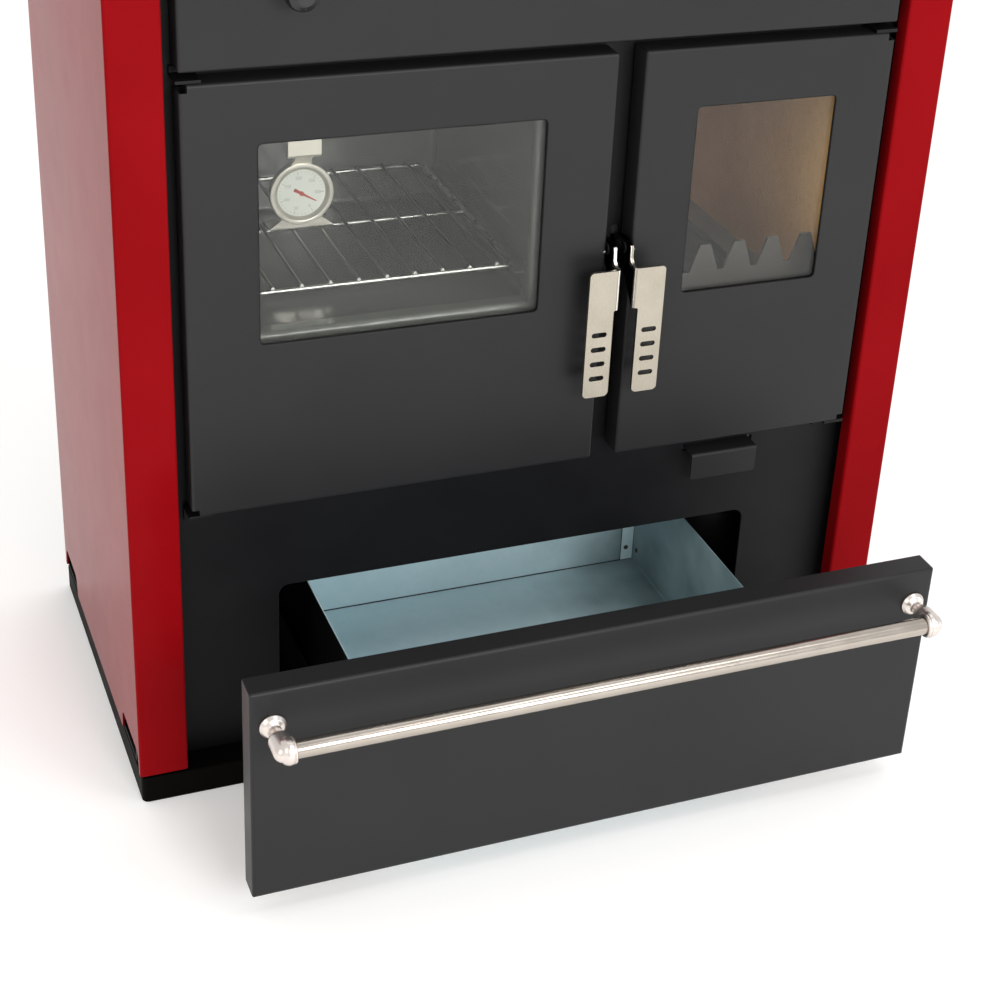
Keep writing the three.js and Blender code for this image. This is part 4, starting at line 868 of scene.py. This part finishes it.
def ovenThermometer():
    x, (face, rear), z = nodeBox("thermometer_dial")
    thermometerCase(x.mean(), z.mean(), face - thermometer["recess"])
    thermometerDial(x.mean(), z.mean(), face, rear)
    softened("thermometer_needle", needleRed, "pointer", 0.15, 2)


ovenThermometer()
print("oven fitted")


# ---- firebox ----
for node, film, edge in (("firebox_shell", hearthSteel, 0.5), ("lining_left", boardTan, 1.2),
                         ("lining_right", boardTan, 1.2), ("lining_rear", boardTan, 1.2),
                         ("fire_grate", hearthSteel, 1.2), ("log_guard", bakedSteel, 0.7),
                         ("ash_pan", greySteel, 0.4)):
    softened(node, film, "stove", edge, 2)

tab = {"sheet": 2, "fold": 3.2, "corner": 3}


def airTab():
    # Flat tongue with its front end bent down, and rounded corners on the flap.
    (x0, x1), (y0, y1), (z0, z1) = nodeBox("air_slide")
    s = tab["sheet"]
    bent = fillet([(y1, z1), (y0, z1), (y0, z0), (y0 + s, z0), (y0 + s, z1 - s), (y1, z1 - s)],
                  [0.2, tab["fold"], 0.3, 0.3, 1.2, 0.2], 6)
    keeps = [pan((x0, x1), (z0, z1 + 20), [(0, y0 - 5), (0, y1 + 5)], tab["corner"], "y")]
    piece("air_tab", [prism(bent, (x0, x1), "x")], charcoalPowder, "air_control", ["air_slide"], edge=0.4,
          keeps=keeps, sharp=40)


airTab()
print("firebox lined")


# ---- drawer ----
drawer = {"sheet": 2, "fold": 3.2, "corner": 1.6, "seam": 0.55, "traySheet": 1.2, "trayFold": 1.6,
          "trayCorner": 1.5, "lap": 14, "rivetUp": 17, "rivet": (2.6, 0.3, 1.1)}


def drawerFront():
    (x0, x1), (y0, y1), (z0, z1) = nodeBox("drawer_front")
    rim = foldedRim(y0, y1, drawer["sheet"], drawer["fold"], 0.6, 1.2, 4)
    piece("drawer_face", [pan((x0, x1), (z0, z1), rim, drawer["corner"], "y", 8, drawer["seam"])],
          charcoalPowder, "drawer", ["drawer_front"], sharp=32)


def drawerTray():
    # Walls and floor of thin sheet with a small fold radius and a rolled top hem.
    (x0, x1), (y0, y1), (z0, z1) = nodeBox("drawer_tray")
    s, f = drawer["traySheet"], drawer["trayFold"]
    profile = fillet([(40, z0), (0, z0), (0, z1), (s, z1), (s, z0 + s), (40, z0 + s)],
                     [0, f, 0.5, 0.5, f, 0], 4, closed=False)
    piece("drawer_tray_sheet", [pan((x0, x1), (y0, y1), profile, drawer["trayCorner"], "z", 4, 0.25)],
          traySteel, "drawer", ["drawer_tray"], sharp=32)
    # The right wall's end laps the rear wall and is riveted; a dark bead closes the joint with the floor.
    lap, up, floorTop = drawer["lap"], z0 + drawer["rivetUp"], z0 + s
    inX, inY = x1 - s, y1 - s
    piece("tray_lap", [box((inX - lap, inX - 0.4), (inY - 0.9, inY - 0.06), (floorTop + 0.4, z1 - 1))],
          zincSteel, "drawer", edge=0.25, segments=2)
    head = dome(*drawer["rivet"], 6) * (1, -1)
    piece("tray_rivets", [turned(head, (inX - lap * 0.6, inY - 0.85, up), "y", 16),
                          turned(head, (inX + 0.05, inY - lap * 0.75, up), "x", 16)], bakedSteel, "drawer")
    beadX, beadZ = inX - lap - 0.2, floorTop + 0.3
    piece("tray_seam", [tube([(x0 + s + 1, inY - 0.35, beadZ), (inX - 1, inY - 0.35, beadZ)], 0.75, 8),
                        tube([(beadX, inY - 0.3, floorTop + 1), (beadX, inY - 0.3, z1 - 1)], 0.45, 8,
                             across=(0, 1, 0))], seamBlack, "drawer")


rail = {"radius": 8, "holder": 12, "flange": 11.5, "rise": 6.5, "stem": 5, "neck": 9.2,
        "neckAlong": (20, 30, 35.7), "inner": 294.5, "outer": 309.5, "ball": 9, "stemAt": 304}


def drawerRail():
    # Tube between two ball-shaped holders on stems, each with a domed foot on the drawer's face.
    (x0, x1), (y0, y1), (z0, z1) = nodeBox("drawer_rail")
    cy, cz, r, face = (y0 + y1) / 2, (z0 + z1) / 2, rail["radius"], nodeBox("drawer_front")[1][0]
    tubeProfile = fillet([(r - 1.2, x0), (r, x0), (r, x1), (r - 1.2, x1)], 0.3, 3)
    piece("rail_tube", [turned(tubeProfile, (0, cy, cz), "x", 64, wrap=True)], tubeSteel, "drawer",
          ["drawer_rail"], sharp=40)
    h, deep, length = rail["holder"], rail["ball"], rail["outer"] - rail["inner"]
    t = np.linspace(0, 1, 14)[:, None] * math.pi / 2
    ball = np.concatenate([h * np.cos(t), length - deep + deep * np.sin(t)], 1)
    ring = [(r + 0.3, 5), (r + 0.3, 0), (r + 2, 0), (h - 0.8, 0.9), (h - 0.5, 2), (h - 1.1, 2.4),
            (h - 1.1, 3), (h - 0.4, 3.5)]
    grooved = fillet(ring, [0.2, 0.3, 0.8, 0.5, 0.2, 0.2, 0.2, 0.4], 3, closed=False)
    holderProfile = np.concatenate([[(0, 5)], grooved, ball])
    f, rise, st, neck = rail["flange"], rail["rise"], rail["stem"], rail["neck"]
    start, end, centre = rail["neckAlong"]
    foot = fillet([(0, 0), (f, 0), (f, 1.6), (f * 0.8, rise * 0.72), (st + 0.8, rise), (st, rise + 2),
                   (neck, start), (neck, end)], [0, 0.4, 1, 3, 1.5, 3, 6, 0], 5, closed=False)
    foot = np.concatenate([foot, np.concatenate([neck * np.cos(t), centre + neck * np.sin(t)], 1)]) * (1, -1)
    for name, side in (("left", -1), ("right", 1)):
        holder = turned(holderProfile * (1, side) + (0, side * rail["inner"]), (0, cy, cz), "x", 48)
        stem = turned(foot, (side * rail["stemAt"], face - 0.3, cz), "y", 40)
        piece("rail_holder_" + name, [holder, stem], chromePlate, "drawer", ["rail_bracket_" + name],
              sharp=40)


drawerFront()
drawerTray()
drawerRail()
print("drawer assembled")


# ---- top: fascia, damper, hob and flue ----
top = {"sheet": 2, "fold": 2.6, "corner": 2, "rodHole": 4.6, "rose": 11, "hobSheet": 2.5, "hobFold": 3.2,
       "hobCorner": 5, "frameWidth": 40, "spigot": (60, 62.5), "boltCircle": 71}


def fascia():
    (x0, x1), (y0, y1), (z0, z1) = nodeBox("top_fascia")
    rim = foldedRim(y0, y1, top["sheet"], top["fold"], 0.5, 1, 4)
    r, rod = top["rodHole"], nodeBox("damper_knob")
    hole = turned([(0, y0 - 2), (r, y0 - 2), (r, y0 + 4), (0, y0 + 4)], (rod[0].mean(), 0, rod[2].mean()),
                  "y", 32)
    piece("fascia_panel", [pan((x0, x1), (z0, z1), rim, top["corner"], "y")], charcoalPowder, "stove",
          ["top_fascia"], cuts=[hole], sharp=32)


def damperKnob():
    # A turned grip on the rod's end, and a thin rosette round the rod.
    x, (_, y1), z = nodeBox("damper_knob")
    profile = fillet([(0, 0), (6.2, 0), (6.6, 3), (12.2, 8), (14, 13), (12.4, 20), (7, 24.4), (0, 25)],
                     [0, 0.4, 2, 3, 4, 4, 4, 0], 6, closed=False)
    piece("damper_grip", [turned(profile * (1, -1), (x.mean(), y1, z.mean()), "y", 48)], knobBlack, "damper",
          ["damper_knob"])
    softened("damper_flap", greySteel, "damper", 0.4, 2)
    rose = fillet([(4.7, 0), (top["rose"], 0), (top["rose"] - 0.6, 1.6), (4.7, 2)], 0.3, 3)
    piece("damper_rose", [turned(rose, (x.mean(), -197.05, z.mean()), "y", 40, wrap=True)], chromePlate,
          "stove")


def hob():
    # Folded surround with a ledge for the plate, plate, ring, lid, and the flanged spigot with its screws.
    (x0, x1), (y0, y1), (z0, z1) = nodeBox("hob_frame")
    w, s, ledge = top["frameWidth"], top["hobSheet"], nodeBox("hob_plate")[2][0] - 0.3
    profile = fillet([(0, z0), (0, z1), (w, z1), (w, ledge), (w + 8, ledge), (w + 8, ledge - s),
                      (w - s, ledge - s), (w - s, z1 - s), (s, z1 - s), (s, z0)],
                     [0.5, top["hobFold"], 0.8, 0.5, 0.4, 0.4, 0.8, 1, 1, 0.5], 5)
    piece("hob_surround", [pan((x0, x1), (y0, y1), profile, top["hobCorner"], "z", 6, caps=False)],
          blackPowder, "stove", ["hob_frame"], sharp=32)
    softened("hob_plate", hobIron, "stove", 0.7, 3)
    softened("hob_ring", hobIron, "ring", 0.6, 3)
    softened("hob_lid", hobIron, "lid", 0.6, 3)
    x, y, (z0, z1) = nodeBox("flue_collar")
    cx, cy, flange, (bore, wall) = x.mean(), y.mean(), (x[1] - x[0]) / 2, top["spigot"]
    collar = fillet([(bore, z0), (flange, z0), (flange, z0 + 3), (wall, z0 + 3), (wall, z1), (bore, z1)],
                    [0.3, 0.8, 1.2, 3, 0.9, 0.6], 5)
    piece("flue_spigot", [turned(collar, (cx, cy, 0), "z", 96, wrap=True)], grateIron, "stove",
          ["flue_collar"])
    r = top["boltCircle"]
    bolts = [turned(dome(4, 0.6, 2, 7), (cx + r * math.cos(a), cy + r * math.sin(a), z0 + 3), "z", 20)
             for a in np.radians([45, 135, 225, 315])]
    piece("spigot_screws", bolts, greySteel, "stove")


fascia()
damperKnob()
hob()
print("top fitted")


# ---- stage and light ----
stage = {"floor": "#F7F6F4", "world": 0.86, "glow": 0.15}
lamps = {"key": {"spot": (0.35, -3.1, 1.55), "size": (1.5, 1.0), "power": 52},
         "overhead": {"spot": (0.3, 0.9, 3.0), "size": (2.6, 2.0), "power": 14},
         "side": {"spot": (-2.5, -1.8, 1.6), "size": (1.4, 1.8), "power": 13, "tint": (1, 0.9, 0.8)},
         "edge": {"spot": (1.1, -1.7, 2.9), "size": (0.9, 0.35), "power": 9},
         "right": {"spot": (3.0, -1.9, 1.1), "size": (0.7, 1.9), "power": 16, "tint": (0.84, 0.92, 1)}}


def softbox(name, spot, size, power, tint=(1, 1, 1), target=(0, -0.1, 0.4)):
    data = bpy.data.lights.new(name, "AREA")
    data.shape, data.size, data.size_y, data.energy = "RECTANGLE", size[0], size[1], power
    data.color = tint
    lamp = bpy.data.objects.new(name, data)
    scene.collection.objects.link(lamp)
    lamp.location = spot
    lamp.rotation_euler = (Vector(target) - Vector(spot)).to_track_quat("-Z", "Y").to_euler()


floorMesh = shellMesh("floor", [box((-9000, 9000), (-9000, 9000), (-20, -0.05))])
floor = bpy.data.objects.new("floor", floorMesh)
scene.collection.objects.link(floor)
floorMesh.materials.append(newMaterial("paleFloor", stage["floor"], **{
    "Roughness": 0.75, "Emission Color": (1, 1, 1, 1), "Emission Strength": stage["glow"]})[0])
for name, lamp in lamps.items():
    softbox(name, **lamp)
world = bpy.data.worlds.new("studio")
scene.world = world
world.use_nodes = True
world.node_tree.nodes["Background"].inputs[0].default_value = (1, 1, 1, 1)
world.node_tree.nodes["Background"].inputs[1].default_value = stage["world"]
scene.view_settings.view_transform = "Standard"
print("stage lit")

bpy.context.view_layer.update()
